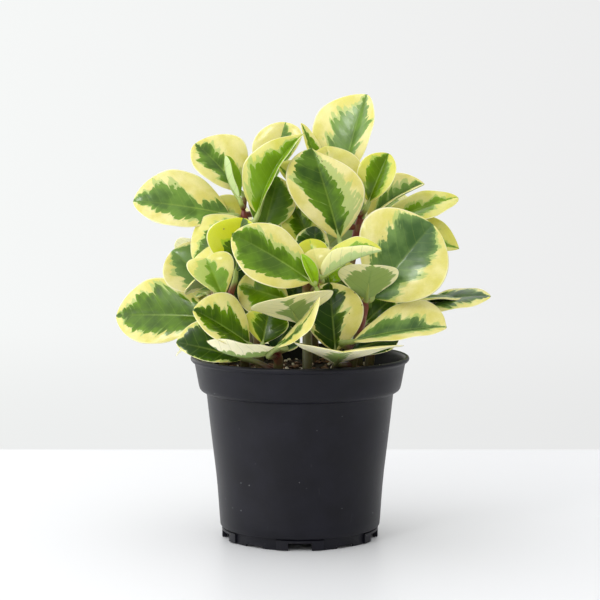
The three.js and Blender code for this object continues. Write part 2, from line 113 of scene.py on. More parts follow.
# A lump before it is broken: the corners and faces of an even body of twenty triangles
LUMP_SPOTS = [
    (0, 0, -1), (0.72, -0.53, -0.45), (-0.28, -0.85, -0.45), (-0.89, 0, -0.45), (-0.28, 0.85, -0.45),
    (0.72, 0.53, -0.45), (0.28, -0.85, 0.45), (-0.72, -0.53, 0.45), (-0.72, 0.53, 0.45),
    (0.28, 0.85, 0.45), (0.89, 0, 0.45), (0, 0, 1),
]
LUMP_FACES = [
    (0, 1, 2), (1, 0, 5), (0, 2, 3), (0, 3, 4), (0, 4, 5), (1, 5, 10), (2, 1, 6), (3, 2, 7), (4, 3, 8),
    (5, 4, 9), (1, 10, 6), (2, 6, 7), (3, 7, 8), (4, 8, 9), (5, 9, 10), (6, 10, 11), (7, 6, 11),
    (8, 7, 11), (9, 8, 11), (10, 9, 11),
]

# Shoots
STEM_RADIUS = 2.8
STEM_HEIGHTS = (78, 87, 94)
STALK_RADIUS = 1.5
STALK_LEAD = 6
STALK_DROP = 0.45
STALK_DROP_RANGE = (3, 14)
STALK_LOWEST = 95
STALK_NEARNESS = 0.6
STEM_TIP_LEFT = 1
# The stalk's end under the midrib: places along the blade, how deep it is sunk, how thick it is
RIB_PLACES = (0.03, 0.08, 0.16, 0.26, 0.42)
RIB_SINKS = (0.45, 0.25, 0.1, 0.05, 0)
RIB_SIZES = (0.82, 0.7, 0.55, 0.38, 0.08)
STALK_STEPS = 12
STALK_FOOT = 1.22
STALK_TAPER = 0.32
STALK_PALING = 1.5
THIN_STALK = 0.72
FULL_STALK_WIDTH = 16
STEM_STEPS = 14
STEM_TAPER = 0.12
STEM_END_SHARE = 0.025
STEM_END_NARROWING = 0.75
STEM_RED = (0.35, 0.5)
TUBE_SIDES = 14
BLADE_ROWS = 38
ROW_CROWDING = 0.55
BLADE_COLUMNS = (0, 0.06, 0.13, 0.22, 0.33, 0.45, 0.57, 0.69, 0.8, 0.885, 0.945, 0.98, 1)
BLADE_MIDDLE = 0.62
MARGIN_THINNING = 0.45
SIDE_FULLNESS = 7
TIP_FULLNESS = 14
PEAK = 0.52
POINT = 0.72
FOLD = 12
ARCH = 2
NOTCH = 0.12
WAVE = 0.45
WAVE_LENGTH = 3.1
WAVE_PHASES = (1.3, 2)
DOME = 0.05
RIB_GROOVE = 0.35
GROOVE_WIDTH = 1.1
UNDER_GROOVE = 0.4

# Every leaf: its number, the base, the tip, the way that its upper face looks, the half widths
# left and right of the midrib, and what sets its shape apart. Places are written as they line up
# from the front: across and up on the plane of the pot's axis, then how deep the point lies.
# "fold" lifts the halves in degrees, "curl" goes on lifting them outwards, "arch" bows the midrib,
# "notch" slides the margins forward, "peak" is where the blade is widest, "point" how blunt its tip.
# One number stands for both halves where they are alike.
SHOOTS = {
  "shoot_right_high": {
    "stem": [[20, 94, 8], [24, 130, 6], [33, 177, 3]],
    "leaves": [
      ["L31", [46, 168, 8], [87, 158.5, 14], [0.2, -0.8, 0.6], [15, 7], {"fold": 8, "point": 0.9}],
      ["L1", [23, 194, 14], [36.3, 242.5, 21], [-0.45, -0.85, 0.3], [26, 17.5],
       {"fold": [5, 30], "point": 0.75}],
      ["L2", [20, 177, 3], [14, 214.5, 6], [0.1, -0.9, 0.3], [17, 18],
       {"fold": 10, "arch": 3, "point": 0.8}],
      ["L3", [21.5, 163.5, -14], [6.5, 213.5, -8], [0.1, -0.95, 0.2], [20, 20.5],
       {"fold": 8, "arch": 3, "peak": [0.62, 0.42], "point": [0.55, 1.3]}],
      ["L28", [37.5, 184, -3], [48.3, 210.5, -1], [-0.1, -0.95, 0.2], [12.5, 12], {"fold": [12, 40]}],
      ["L29", [37, 175, 6], [68, 193.8, 14], [-0.1, -0.6, 0.8], [14.5, 12], {"fold": [25, 45]}],
      ["L30", [42, 170, 12], [86.3, 186.5, 22], [-0.1, -0.5, 0.85], [11, 14], {"fold": [20, 8]}],
      ["L42", [8, 158, 4], [-5, 184, 9], [0, -0.8, 0.5], 12, {"fold": 8}],
      ["F3", [22, 122, -4], [24, 152, -8], [0, -0.95, 0.3], 14, {"fold": 8}],
      ["L44", [8, 187, 5], [-12, 204.5, 6], [0.1, -0.9, 0.4], [4, 10], {"fold": 8, "arch": 0}],
      ["L45", [13, 192, 14], [0.5, 227, 18], [0.4, -0.9, 0.2], [3, 5], {"fold": [10, 20]}],
    ],
  },
  "shoot_left_high": {
    "stem": [[-22, 94, 10], [-25, 125, 6], [-31, 181, -3]],
    "leaves": [
      ["L10", [-22, 169, -14], [-58.5, 152.5, -20.5], [-0.35, -0.62, 0.7], [15, 19],
       {"fold": [5, 12], "arch": 5}],
      ["L4", [-23, 177, -8], [2.3, 221.3, -2], [-0.64, -0.77, 0.1], [16.5, 12],
       {"fold": [35, 45], "arch": 6, "peak": [0.38, 0.5], "point": 1.0}],
      ["L5", [-16, 186, 13], [-8, 227.5, 19], [-0.2, -0.9, 0.3], [15.5, 11.5],
       {"fold": 8, "arch": 0, "peak": [0.6, 0.8]}],
      ["L6", [-33, 190, -2], [-57, 216, 6], [0, -0.7, 0.7], [14, 21], {"fold": [15, 5]}],
      ["L7", [-33, 186, -8], [-40.5, 209.3, -9], [0.95, -0.25, 0.3], [5, 8],
       {"fold": [60, 45], "arch": -2.5}],
      ["L8", [-38.5, 177, -3], [-91, 184.5, -3], [0, -0.84, 0.54], [15, 21.5], {"fold": [12, 6]}],
      ["L9", [-33, 169, 2], [-47, 186, 8], [0, -0.8, 0.6], 10.5, {"fold": 8}],
      ["F1", [-28, 118, 3], [-36, 147, -3], [0, -0.92, 0.4], 16, {"fold": 8}],
      ["L43", [-20, 168, -2], [-12, 198, 2], [0.2, -0.95, 0.2], 13.5, {"fold": 8, "arch": 0}],
    ],
  },
  "shoot_left_low": {
    "stem": [[-30, 94, -15], [-33, 112, -24], [-38, 134, -35]],
    "leaves": [
      ["L11", [-35, 146, -34], [-31, 175.5, -33], [-0.15, -0.9, 0.35], [17.5, 16], {"fold": [12, 30]}],
      ["L12", [-42, 132, -47], [-51.5, 153.5, -45], [0.1, -0.95, 0.25], [11.5, 13],
       {"fold": [5, 18], "notch": [0.8, 0.42]}],
    ],
  },
  "shoot_left": {
    "stem": [[-42, 94, 8], [-44, 115, 4], [-46, 132, 2]],
    "leaves": [
      ["L14", [-50, 121, 0], [-100.8, 121.7, 17], [0, -0.9, 0.42], [18, 21.5],
       {"fold": 8, "peak": 0.5, "point": 0.78}],
      ["L13", [-48, 136, 4], [-70, 157.5, 8], [0, -0.85, 0.5], 17, {"fold": 8}],
      ["L15", [-40, 127, 14], [-64, 137.5, 24], [0, -0.8, 0.5], 8.5, {"fold": 8}],
      ["G1", [-52, 134, 12], [-63, 132, 47], [-0.85, 0, 0.5], [13, 12], {}],
      ["G2", [-50, 112, 10], [-64, 104, 34], [-0.85, 0, 0.5], [13, 12], {}],
      ["G3", [-50, 139, -2], [-57, 142, -29], [-0.85, 0, 0.5], 11, {}],
    ],
  },
  "shoot_front_left": {
    "stem": [[-12, 94, -38], [-12, 98, -41], [-14, 104, -45]],
    "leaves": [
      ["L16", [-28, 106, -50], [-58.8, 125, -58], [0.1, -0.8, 0.45], [17, 17.5], {"fold": [40, 5]}],
      ["L37", [-20.5, 106.5, -44], [-17, 124.5, -36], [0, -1, 0.2], 12, {"fold": 10}],
      ["L38", [-14, 102, -36], [-6, 116.5, -35], [0, -1, 0.2], 10, {"fold": 8}],
      ["L36", [-31, 98, -34], [-68, 107, -34], [0, -0.9, 0.4], [7, 16], {"fold": 8}],
      ["L23", [-11.5, 104, -52], [-51, 107.5, -66], [0, -0.1, 1], [16, 14],
       {"fold": [35, 8], "arch": -6}],
      ["L22", [-14, 103.5, -57.5], [10.8, 131.5, -77.5], [-0.55, -0.6, 0.55], [12, 8.8],
       {"fold": [-26, 5], "arch": -3, "peak": [0.5, 0.62]}],
    ],
  },
  "shoot_centre_front": {
    "stem": [[4, 94, -22], [4, 120, -20], [4, 140, -24], [6, 147, -36], [8, 143, -48]],
    "leaves": [
      ["L17", [-6, 130, -28], [-34, 138.5, -27], [0, -0.97, 0.25], 13, {"fold": 8}],
      ["L18", [6, 140.5, -52], [-37, 166.3, -57], [0.25, -0.82, 0.5], [19.5, 16.5], {"fold": 8}],
      ["L19", [9, 137, -50], [0.8, 155.8, -52], [0.3, -0.9, 0.2], [3.5, 4], {"fold": 30}],
      ["L20", [12.5, 143.5, -48], [44.8, 157.6, -60], [-0.1, -0.3, 0.93], [13.5, 10],
       {"fold": [40, 50], "curl": [0, 45], "peak": [0.42, 0.36]}],
      ["L21", [-1, 118, -41], [-9, 131.5, -68], [-0.25, 0.3, 0.9], [25.5, 19],
       {"fold": [-8, 5], "notch": 0.45}],
      ["L40", [11.5, 143, -42], [7, 158.5, -38], [0, -0.9, 0.3], [8, 10], {"fold": 8}],
      ["L41", [9, 144, -22], [8, 171, -3], [0, -0.85, 0.5], [11, 7.5], {"fold": 8}],
      ["F2", [3, 112, -12], [-6, 141, -13], [0, -0.95, 0.3], 17, {"fold": 8}],
      ["L46", [8, 146, -32], [5, 164, -28], [0, -0.9, 0.3], 9, {"fold": 8}],
      ["L47", [17, 139, -27], [22, 149, -25], [0, -0.9, 0.3], [4, 4.5], {"fold": 8}],
    ],
  },
  "shoot_front_right": {
    "stem": [[28, 94, -25], [31, 106, -29], [36, 130, -28]],
    "leaves": [
      ["L24", [20, 95.5, -40], [24, 101.5, -76], [0, 0, 1], [32.5, 26],
       {"fold": 0, "curl": [12, 25], "notch": 0.3}],
      ["L25", [19.5, 102, -37], [16, 140, -31], [0, -0.95, 0.3], [15, 17], {"fold": 8}],
      ["L26", [36.5, 131, -30], [39.5, 149.5, -54], [0, 0.5, 0.8], [15.5, 17], {"fold": 8}],
      ["L27", [40, 132, -28], [72.5, 172, -22], [0, -0.9, 0.45], [30, 26],
       {"fold": [5, 8], "peak": [0.55, 0.46], "point": [0.7, 0.75]}],
      ["L34", [29, 107.5, -42], [80.5, 115.3, -38], [0, -0.5, 0.87], [20, 16],
       {"fold": [15, 22], "peak": [0.68, 0.5], "point": [0.45, 0.72]}],
      ["L35", [28, 102, -36], [54, 109, -30], [0, -0.8, 0.5], [6, 7], {"fold": 8}],
      ["L39", [36, 118, -20], [52, 132, -16], [0, -0.9, 0.4], 8, {"fold": 8}],
    ],
  },
  "shoot_right": {
    "stem": [[38, 94, 5], [41, 115, 2], [46, 131, 0]],
    "leaves": [
      ["H3", [50, 141, 10], [60, 150, -17], [0.85, 0, 0.5], 12, {}],
      ["H4", [51, 136, 8], [61, 136, 38], [0.85, 0, 0.5], [13, 12], {}],
      ["H5", [50, 121, 4], [60, 119, 24], [0.8, -0.1, 0.6], [13, 11], {}],
      ["L32", [62, 125.5, -3], [104.5, 132.3, -12], [0, -0.31, 0.95], 15, {"fold": 0}],
      ["L33", [48, 128.5, -6], [96.7, 130.5, -8], [0, -0.1, 1], [9, 8], {"fold": [0, 5]}],
    ],
  },
  "shoot_back_centre": {
    "stem": [[8, 94, 38], [7, 125, 36], [6, 160, 31]],
    "leaves": [
      ["J1", [14, 174, 28], [28, 210, 42], [0.2, 0.9, 0.3], [16, 17], {}],
      ["J2", [2, 162, 34], [-26, 193, 55], [-0.2, 0.85, 0.5], 17, {}],
      ["J3", [14, 160, 36], [44, 182, 56], [0.2, 0.85, 0.5], 17, {}],
      ["J4", [4, 146, 38], [-4, 158, 75], [0, 0.6, 0.8], 17, {}],
      ["J5", [10, 140, 40], [12, 146, 76], [0.1, 0.4, 0.9], 17, {}],
      ["J6", [2, 128, 40], [-14, 124, 74], [-0.2, 0.6, 0.8], 16, {}],
      ["J7", [5, 132, 28], [-3, 148, -6], [0.3, -0.3, 0.9], 14, {}],
      ["J8", [3, 112, 28], [-4, 118, -8], [-0.4, 0, 0.9], 14, {}],
    ],
  },
  "shoot_back_left": {
    "stem": [[-25, 94, 28], [-27, 120, 29], [-31, 154, 27]],
    "leaves": [
      ["K1", [-30, 158, 28], [-52, 184, 44], [-0.4, 0.8, 0.4], 17, {}],
      ["K2", [-36, 150, 26], [-68, 158, 50], [-0.3, 0.6, 0.75], 15, {}],
      ["K3", [-36, 122, 32], [-72, 112, 56], [-0.4, 0.6, 0.7], 15, {}],
      ["K4", [-26, 140, 36], [-38, 150, 74], [-0.2, 0.7, 0.7], 18, {}],
      ["K5", [-28, 115, 34], [-56, 108, 60], [-0.3, 0.5, 0.8], 16, {}],
      ["K6", [-16, 112, 38], [-12, 104, 76], [0, 0.4, 0.9], 17, {}],
    ],
  },
  "shoot_back_right": {
    "stem": [[32, 94, 28], [35, 120, 27], [38, 160, 25]],
    "leaves": [
      ["M1", [36, 165, 26], [62, 184, 42], [0.4, 0.8, 0.4], 16, {}],
      ["M2", [42, 150, 28], [80, 158, 46], [0.4, 0.6, 0.6], 16, {}],
      ["M3", [42, 134, 30], [56, 146, 70], [0.2, 0.6, 0.7], 16, {}],
      ["M4", [44, 118, 28], [76, 121, 54], [0.3, 0.5, 0.8], 15, {}],
      ["M5", [36, 118, 34], [62, 110, 64], [0.3, 0.5, 0.8], 16, {}],
      ["M6", [22, 110, 38], [24, 102, 76], [0.1, 0.4, 0.9], 17, {}],
    ],
  },
}

# How each leaf is coloured. "left" and "right" say how far out the green reaches on each half, as a
# share of its width, at five places from the base to the tip. "fringe" is how much farther the
# grey-green goes on the left and the right, "young" how fresh and yellow the leaf is, "blue" how
# bluish and light its green is, in part painted sheen on leaves that face the window, "deep" how
# dark, in part painted shade on leaves that lie under others, and "frayed" how strong the fingers of
# its edge are. What isn't written is drawn by chance.
REACH_PLACES = (0.05, 0.28, 0.52, 0.76, 0.95)
USUAL_REACH = (0.6, 0.66, 0.62, 0.5, 0.3)
REACH_SPREAD = 0.16
USUAL_LOOK = {"fringe": (0.08, 0.08), "frayed": 1}
CHANCE_LOOK = {"deep": (0.1, 0.8), "blue": (0, 0.7), "young": (0, 0.4)}
LOOKS = {
    "L1": {"left": (0.3, 0.5, 0.55, 0.3, 0.15), "right": (0.3, 0.5, 0.6, 0.6, 0.4),
           "fringe": (0.16, 0.05), "young": 0.12, "blue": 0.5, "deep": 0.2},
    "L2": {"left": (0, 0, -0.1, -0.1, 0), "right": (0.1, 0.05, -0.1, -0.1, 0), "young": 0.3},
    "L3": {"left": (0.25, 0.42, 0.62, 0.8, 0.75), "right": (0.3, 0.45, 0.35, 0.25, 0.2),
           "fringe": (0.02, 0.3), "young": 0.05, "blue": 0.15, "deep": 0.5, "frayed": 0.8},
    "L4": {"left": (0.5, 0.58, 0.6, 0.4, 0.2), "right": (1.1, 1.1, 1.1, 1, 0.8),
           "fringe": (0.15, 0.1), "young": 0.4, "blue": 0, "deep": 0.15},
    "L5": {"left": (0.2, 0.5, 0.45, -0.1, -0.3), "right": (0.5, 0.9, 0.9, 0.7, 0.1),
           "fringe": (0.1, 0.1), "young": 0.15, "blue": 0.4, "deep": 0.2},
    "L6": {"left": (0.5, 0.55, 0.55, 0.5, 0.3), "right": (0.5, 0.3, 0.28, 0.3, 0.2),
           "fringe": (0.02, 0.12), "young": 0.15, "blue": 0.3, "deep": 0.4},
    "L7": {"left": (1.1, 1.1, 1.1, 1.1, 1.1), "right": (1.1, 1.1, 1.1, 1.0, 0.8),
           "young": 0.75, "blue": 0.6, "deep": 0},
    "L8": {"left": (0.9, 0.75, 0.62, 0.35, 0.25), "right": (0.7, 0.15, 0.45, 0.55, 0.5),
           "fringe": (0.05, 0.1), "young": 0.05, "blue": 0.5, "deep": 0.2},
    "L9": {"left": (0.1, 0.1, 0, 0, 0), "right": (0.3, 0.2, 0.1, 0, 0), "young": 0.35},
    "L10": {"left": (0, -0.1, -0.1, -0.1, -0.1), "right": (0.5, 0.55, 0.5, 0.35, 0.1),
            "fringe": (0, 0.1), "young": 0.3, "blue": 0, "deep": 0.6},
    "L11": {"left": (0.2, 0.5, 0.45, 0.05, 0.1), "right": (0.9, 0.9, 0.8, 0.8, 0.5),
            "fringe": (0.05, 0.05), "young": 0.95, "blue": 0, "deep": 0.9},
    "L12": {"left": (0.6, 0.5, 0.3, 0.15, 0), "right": (0.4, 0.5, 0.45, 0.25, 0.1),
            "fringe": (0.4, 0.05), "young": 0.3, "blue": 0.3, "deep": 0},
    # L13 carries painted sheen: its green is made bluish and light.
    "L13": {"left": (0.7, 0.6, 0.5, 0.4, 0.3), "right": (0.95, 0.9, 0.85, 0.75, 0.5),
            "fringe": (0.1, 0.1), "young": 0, "blue": 1.2, "deep": -0.1, "frayed": 0.6},
    "L14": {"left": (0.7, 0.65, 0.68, 0.6, 0.3), "right": (0.7, 0.6, 0.58, 0.5, 0.3),
            "fringe": (0.05, 0.1), "young": 0.1, "blue": 0.05, "deep": 0.45},
    "L15": {"left": (0.3, 0.2, 0.1, 0, 0), "right": (0.1, 0, 0, 0, 0), "young": 0.3},
    "L16": {"left": (0.75, 0.8, 0.8, 0.7, 0.5), "right": (0.65, 0.5, 0.42, 0.45, 0.4),
            "fringe": (0.02, 0.05), "young": 0.2, "blue": 0, "deep": 0.65},
    "L17": {"left": (0.8, 0.75, 0.7, 0.5, 0.3), "right": (0.3, 0.5, 0.5, 0.2, 0),
            "young": 0.3, "blue": 0, "deep": 0.3},
    "L18": {"left": (0.45, 0.68, 0.75, 0.75, 0.65), "right": (0.5, 0.55, 0.22, 0.55, 0.7),
            "fringe": (0.03, 0.15), "young": 0.15, "blue": 0.1, "deep": 0.35, "frayed": 0.8},
    "L19": {"left": (1.1, 1.1, 1.1, 1.1, 1.1), "right": (1.1, 1.1, 1.1, 1.1, 1.1),
            "young": 1, "blue": 0.2, "deep": 0},
    "L20": {"left": (0.4, 0.65, 0.7, 0.5, 0.3), "right": (0.2, 0.4, 0.5, 0.5, 0.4),
            "fringe": (0.05, 0.4), "young": 0.7, "blue": 0.3, "deep": 0.3},
    "L21": {"left": (0.5, 0.45, 0.3, 0.1, -0.1), "right": (0.4, 0.35, 0.15, 0, -0.1), "young": 0.1},
    "L22": {"left": (0.3, 0, -0.1, -0.1, -0.2), "right": (0.7, 0.5, 0.2, 0.05, 0), "young": 0.15},
    "L23": {"left": (0.5, 0.35, 0.15, 0.05, 0), "right": (0.5, 0.35, 0.2, 0.1, 0), "young": 0},
    "L24": {"left": (0.3, 0.3, 0.2, 0.1, 0), "right": (0.3, 0.3, 0.2, 0.1, 0), "young": 0},
    # L25 lies under the leaves above it: its dark green is in part painted shade.
    "L25": {"left": (0.85, 0.85, 0.82, 0.75, 0.6), "right": (0.25, 0.3, 0.42, 0.4, 0.3),
            "fringe": (0, 0.04), "young": 0.1, "blue": 0, "deep": 0.95},
    "L26": {"left": (0.9, 0.85, 0.7, 0.6, 0.3), "right": (0.85, 0.7, 0.5, 0.35, 0.2),
            "fringe": (0.15, 0.15), "young": 0.1, "blue": 0.7, "deep": 0.5},
    "L27": {"left": (0.55, 0.6, 0.55, 0.6, 0.75), "right": (0.75, 0.35, 0.5, 0.6, 0.5),
            "fringe": (0.06, 0.1), "young": 0.12, "blue": 1, "deep": 0.45, "frayed": 0.55},
    "L28": {"left": (0.4, 0.5, 0.58, 0.5, 0.4), "right": (0.6, 0.55, 0.5, 0.5, 0.3),
            "young": 0.6, "blue": 0, "deep": 0.5},
    "L29": {"left": (0.1, 0.2, 0.3, 0.35, 0.3), "right": (0.5, 0.6, 0.6, 0.5, 0.4),
            "fringe": (0.15, 0.1), "young": 0.1, "blue": 0.6, "deep": 0.2},
    "L30": {"left": (0.3, 0.3, 0.25, 0.2, 0.1), "right": (0.6, 0.6, 0.5, 0.3, 0.1),
            "fringe": (0.15, 0.1), "young": 0.4, "blue": 0.2, "deep": 0.2},
    "L31": {"left": (0.1, 0.1, 0.2, 0.2, 0), "right": (0.8, 0.8, 0.7, 0.6, 0.3), "young": 0.4},
    "L34": {"left": (0.4, 0.5, 0.45, 0.25, 0.05), "right": (0.4, 0.5, 0.5, 0.45, 0.2),
            "fringe": (0.08, 0.15), "young": 0.1, "blue": 0.8, "deep": 0.5, "frayed": 0.6},
    # L35 lies under L34 and is painted dark green all over, as painted shade.
    "L35": {"left": (1.1, 1.1, 1.1, 1, 0.9), "right": (1.1, 1.1, 1.1, 1, 0.9), "deep": 1},
    "L36": {"left": (0.9, 0.9, 0.9, 0.8, 0.6), "right": (0.9, 0.9, 0.85, 0.75, 0.5),
            "young": 0.15, "blue": 0, "deep": 0.9},
    "L37": {"left": (0.5, 0.55, 0.62, 0.6, 0.5), "right": (0.8, 0.85, 0.8, 0.75, 0.6),
            "young": 0.75, "blue": 0, "deep": 0.9},
    # L38 lies behind L37 and is painted dark green all over, as painted shade.
    "L38": {"left": (1, 1, 1, 1, 0.9), "right": (1, 1, 1, 0.9, 0.8), "young": 0.1, "deep": 1},
    "L39": {"left": (0.9, 0.9, 0.9, 0.8, 0.6), "right": (0.9, 0.9, 0.8, 0.7, 0.5), "deep": 0.8},
    "L40": {"left": (0, -0.2, -0.3, -0.3, -0.3), "right": (0, -0.2, -0.3, -0.3, -0.3), "young": 0.2},
    "L41": {"left": (0.85, 0.9, 0.9, 0.85, 0.7), "right": (0.85, 0.85, 0.8, 0.7, 0.5),
            "young": 0, "blue": 0.1, "deep": 0.9, "frayed": 0.5},
    "L42": {"left": (0.6, 0.7, 0.6, 0.4, 0.1), "right": (0.3, 0.2, 0.3, 0.2, 0),
            "young": 0.6, "blue": 0, "deep": 0.8},
    "L43": {"left": (0.9, 0.9, 0.95, 0.9, 0.7), "right": (0.9, 0.88, 0.85, 0.7, 0.5),
            "young": 0.1, "blue": 0.2, "deep": 0.3},
    "L44": {"left": (1, 1, 0.9, 0.8, 0.5), "right": (0.3, 0, -0.1, -0.1, -0.1),
            "young": 0.6, "blue": 0, "deep": 0.5},
    "L46": {"left": (0, -0.1, -0.2, -0.2, -0.2), "right": (0, -0.1, -0.2, -0.2, -0.2), "young": 0.85},
    "L47": {"left": (1.1, 1.1, 1.1, 1.1, 1.1), "right": (1.1, 1.1, 1.1, 1.1, 1.1),
            "young": 1, "blue": 0.2, "deep": 0},
    # F1 and F2 lie deep inside the plant and are painted dark green all over, as painted shade.
    "F1": {"left": (1, 1, 1, 0.9, 0.7), "right": (1, 1, 1, 0.9, 0.8), "young": 0.1, "deep": 1},
    "F2": {"left": (1, 1, 1, 1, 0.8), "right": (1, 1, 1, 0.9, 0.7), "young": 0.1, "deep": 1},
    "F3": {"left": (1, 0.9, 0.7, 0.4, 0.1), "right": (1, 0.9, 0.6, 0.4, 0.1), "young": 0.6, "deep": 0.7},
}

# Small brown scars on the blades: places as they line up from the front, and how wide each is
SCARS = {
    "L1": [(9.8, 201.5, 1.0), (7.1, 204.8, 0.8)],
    "L11": [(-41.7, 169.3, 0.9)],
    "L25": [(31, 135, 0.9), (36, 128, 0.7), (27, 123, 0.6)],
    "L3": [(9.5, 209, 1.5), (12, 206, 1.3), (13.5, 203.5, 1.1)],
}
SCAR_SIDES = 10
SCAR_LIFT = 0.07
SCAR_SEARCH_STEPS = 70
SCAR_UNEVENNESS = (0.75, 1.15)

# The studio. The room's light is dimmer in gloss, except from the window on the left.
FLOOR_FAR_EDGE = 280
FLOOR_RADIUS = 1250
FLOOR_STEPS = 96
FLOOR_EDGE_BLEND = (-4, 6)
FLOOR_SPREAD = 700
# Painted light on the backdrop and on the floor's glowing far part: lighter on the left than on the right,
# and the glow painted darker at its foot.
LIT_BACKDROP_LEFT = "#f8faf9"
SHADED_BACKDROP_RIGHT = "#ebebeb"
BACKDROP_FOOT_SHADE = 0.94
BACKDROP_SHADE_FADE = 1100
BACKDROP_SPREAD = 0.3
ROOM_DIM = 0.74
ROOM_DIM_IN_GLOSS = 0.14
ROOM_LEFT = 0.55
ROOM_LEFT_IN_GLOSS = 1.5
ROOM_UP = 0.5
ROOM_WALL = 0.5
# Where the room's light starts and where it is full, across, ahead and up
ROOM_SPANS = {"X": (0.15, -0.7), "Y": (0.3, 0.95), "Z": (0.1, 0.8)}
# Every lamp: where it stands, what it aims at, its size and its power
LAMPS = {
    "window_left": ((-660, -900, 850), (0, 0, 140), (500, 550), 1.3),
    "window_pane": ((-540, -870, 860), (0, 0, 150), (180, 220), 1.9),
    "reflector_left": ((-870, -500, 100), (0, 0, 70), (500, 350), 1.3),
}


# Small helpers
def linear(code):
    """The linear colour of an sRGB hex value."""
    channels = [int(code[i:i + 2], 16) / 255 for i in (1, 3, 5)]
    curved = [c / 12.92 if c <= 0.04045 else ((c + 0.055) / 1.055) ** 2.4 for c in channels]
    return (*curved, 1.0)


def set_inputs(node, inputs):
    """Set a node's inputs by name, or in the order in which it shows them.

    A hex value is a colour. A socket or a node is linked, and of a node it is its first output.
    """
    shown = [socket for socket in node.inputs if socket.enabled]
    if isinstance(inputs, dict):
        names = [socket.name for socket in shown]
        shown = [shown[names.index(name)] for name in inputs]
        inputs = inputs.values()
    for socket, value in zip(shown, inputs):
        if isinstance(value, bpy.types.Node):
            value = next(output for output in value.outputs if output.enabled)
        if isinstance(value, bpy.types.NodeSocket):
            node.id_data.links.new(value, socket)
        else:
            socket.default_value = linear(value) if isinstance(value, str) else value


def add_node(tree, kind, inputs=(), **settings):
    """A node with its settings and its inputs."""
    made = tree.nodes.new("ShaderNode" + kind)
    for name, value in settings.items():
        setattr(made, name, value)
    set_inputs(made, inputs)
    return made


def per_metre(size):
    """How often a pattern of a size in millimetres repeats in a metre."""
    return 1 / (size * MM)


def paint_over(add, skin, layers):
    """Lay colours over a skin, each where its mask says and as strong as its share says."""
    for mask, share, colour in layers:
        amount = add("Math", [mask, share], operation="MULTIPLY")
        skin = add("Mix", [amount, skin, colour], data_type="RGBA")
    return skin


def new_material(name):
    """A material, its shader, and the function that adds a node to it."""
    material = bpy.data.materials.new(name)
    material.use_nodes = True
    tree = material.node_tree
    return material, tree.nodes["Principled BSDF"], partial(add_node, tree)


def new_mesh(name, spots, faces, smooth=False):
    """A mesh from places in millimetres."""
    mesh = bpy.data.meshes.new(name)
    mesh.from_pydata([Vector(spot) * MM for spot in spots], [], faces)
    mesh.polygons.foreach_set("use_smooth", [smooth] * len(faces))
    return mesh


def new_object(name, mesh, *materials):
    made = bpy.data.objects.new(name, mesh)
    bpy.context.collection.objects.link(made)
    for material in materials:
        mesh.materials.append(material)
    return made


def claim(piece, node):
    """The piece stands for a node: it hangs under the root, and the node's own part is hidden."""
    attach(piece, "root")
    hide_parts(node)


def ring_spots(radius, height, steps, x=0, y=0):
    """Places in a ring around the axis, or around a place beside it."""
    turns = [2 * math.pi * k / steps for k in range(steps)]
    return [(x + radius * math.cos(turn), y + radius * math.sin(turn), height) for turn in turns]


def ring_faces(low, high):
    """Faces between two rings of points. Where a ring is one point, they close to a tip."""
    faces = []
    for k in range(len(low)):
        after = (k + 1) % len(low)
        faces.append(tuple(dict.fromkeys([low[k], low[after], high[after], high[k]])))
    return faces


def place(row):
    """The real place of a point that is written as it lines up from the front."""
    across, up, deep = row
    k = (deep + EYE_DISTANCE) / EYE_DISTANCE
    return np.array([across * k, deep, EYE_HEIGHT + (up - EYE_HEIGHT) * k])


def unit(vector):
    return vector / np.linalg.norm(vector)


def smooth_path(points, count):
    """Points along a smooth curve through the given ones, centripetal as a bent cane lies."""
    points = [np.asarray(p, float) for p in points]
    points = [2 * points[0] - points[1], *points, 2 * points[-1] - points[-2]]
    made = []
    for p0, p1, p2, p3 in zip(points, points[1:], points[2:], points[3:]):
        t0 = 0.0
        t1 = t0 + math.sqrt(np.linalg.norm(p1 - p0))
        t2 = t1 + math.sqrt(np.linalg.norm(p2 - p1))
        t3 = t2 + math.sqrt(np.linalg.norm(p3 - p2))
        for k in range(count):
            t = t1 + (t2 - t1) * k / count
            a1 = p0 * (t1 - t) / (t1 - t0) + p1 * (t - t0) / (t1 - t0)
            a2 = p1 * (t2 - t) / (t2 - t1) + p2 * (t - t1) / (t2 - t1)
            a3 = p2 * (t3 - t) / (t3 - t2) + p3 * (t - t2) / (t3 - t2)
            b1 = a1 * (t2 - t) / (t2 - t0) + a2 * (t - t0) / (t2 - t0)
            b2 = a2 * (t3 - t) / (t3 - t1) + a3 * (t - t1) / (t3 - t1)
            made.append(b1 * (t2 - t) / (t2 - t1) + b2 * (t - t1) / (t2 - t1))
    made.append(points[-2])
    return np.array(made)


# Leaf shape
def pair(value):
    """One value for each half of the blade. A single value stands for both."""
    return value if isinstance(value, list) else [value, value]


def read_leaf(row):
    number, base_row, tip_row, face_row, widths, more = row
    base = place(base_row)
    tip = place(tip_row)
    length = np.linalg.norm(tip - base)
    axis = (tip - base) / length
    face = np.array(face_row, float)
    face = unit(face - axis * face.dot(axis))
    return {
        "number": number, "base": base, "length": length, "axis": axis, "face": face,
        "side": np.cross(axis, face), "widths": pair(widths),
        "fold": pair(more.get("fold", FOLD)), "curl": pair(more.get("curl", 0)),
        "peak": pair(more.get("peak", PEAK)), "point": pair(more.get("point", POINT)),
        "arch": more.get("arch", ARCH), "notch": pair(more.get("notch", NOTCH)),
        "seed": sum(ord(letter) * (7 + k) for k, letter in enumerate(number)) % 97,
    }


def by_side(values, u):
    return np.where(u < 0, values[0], values[1])


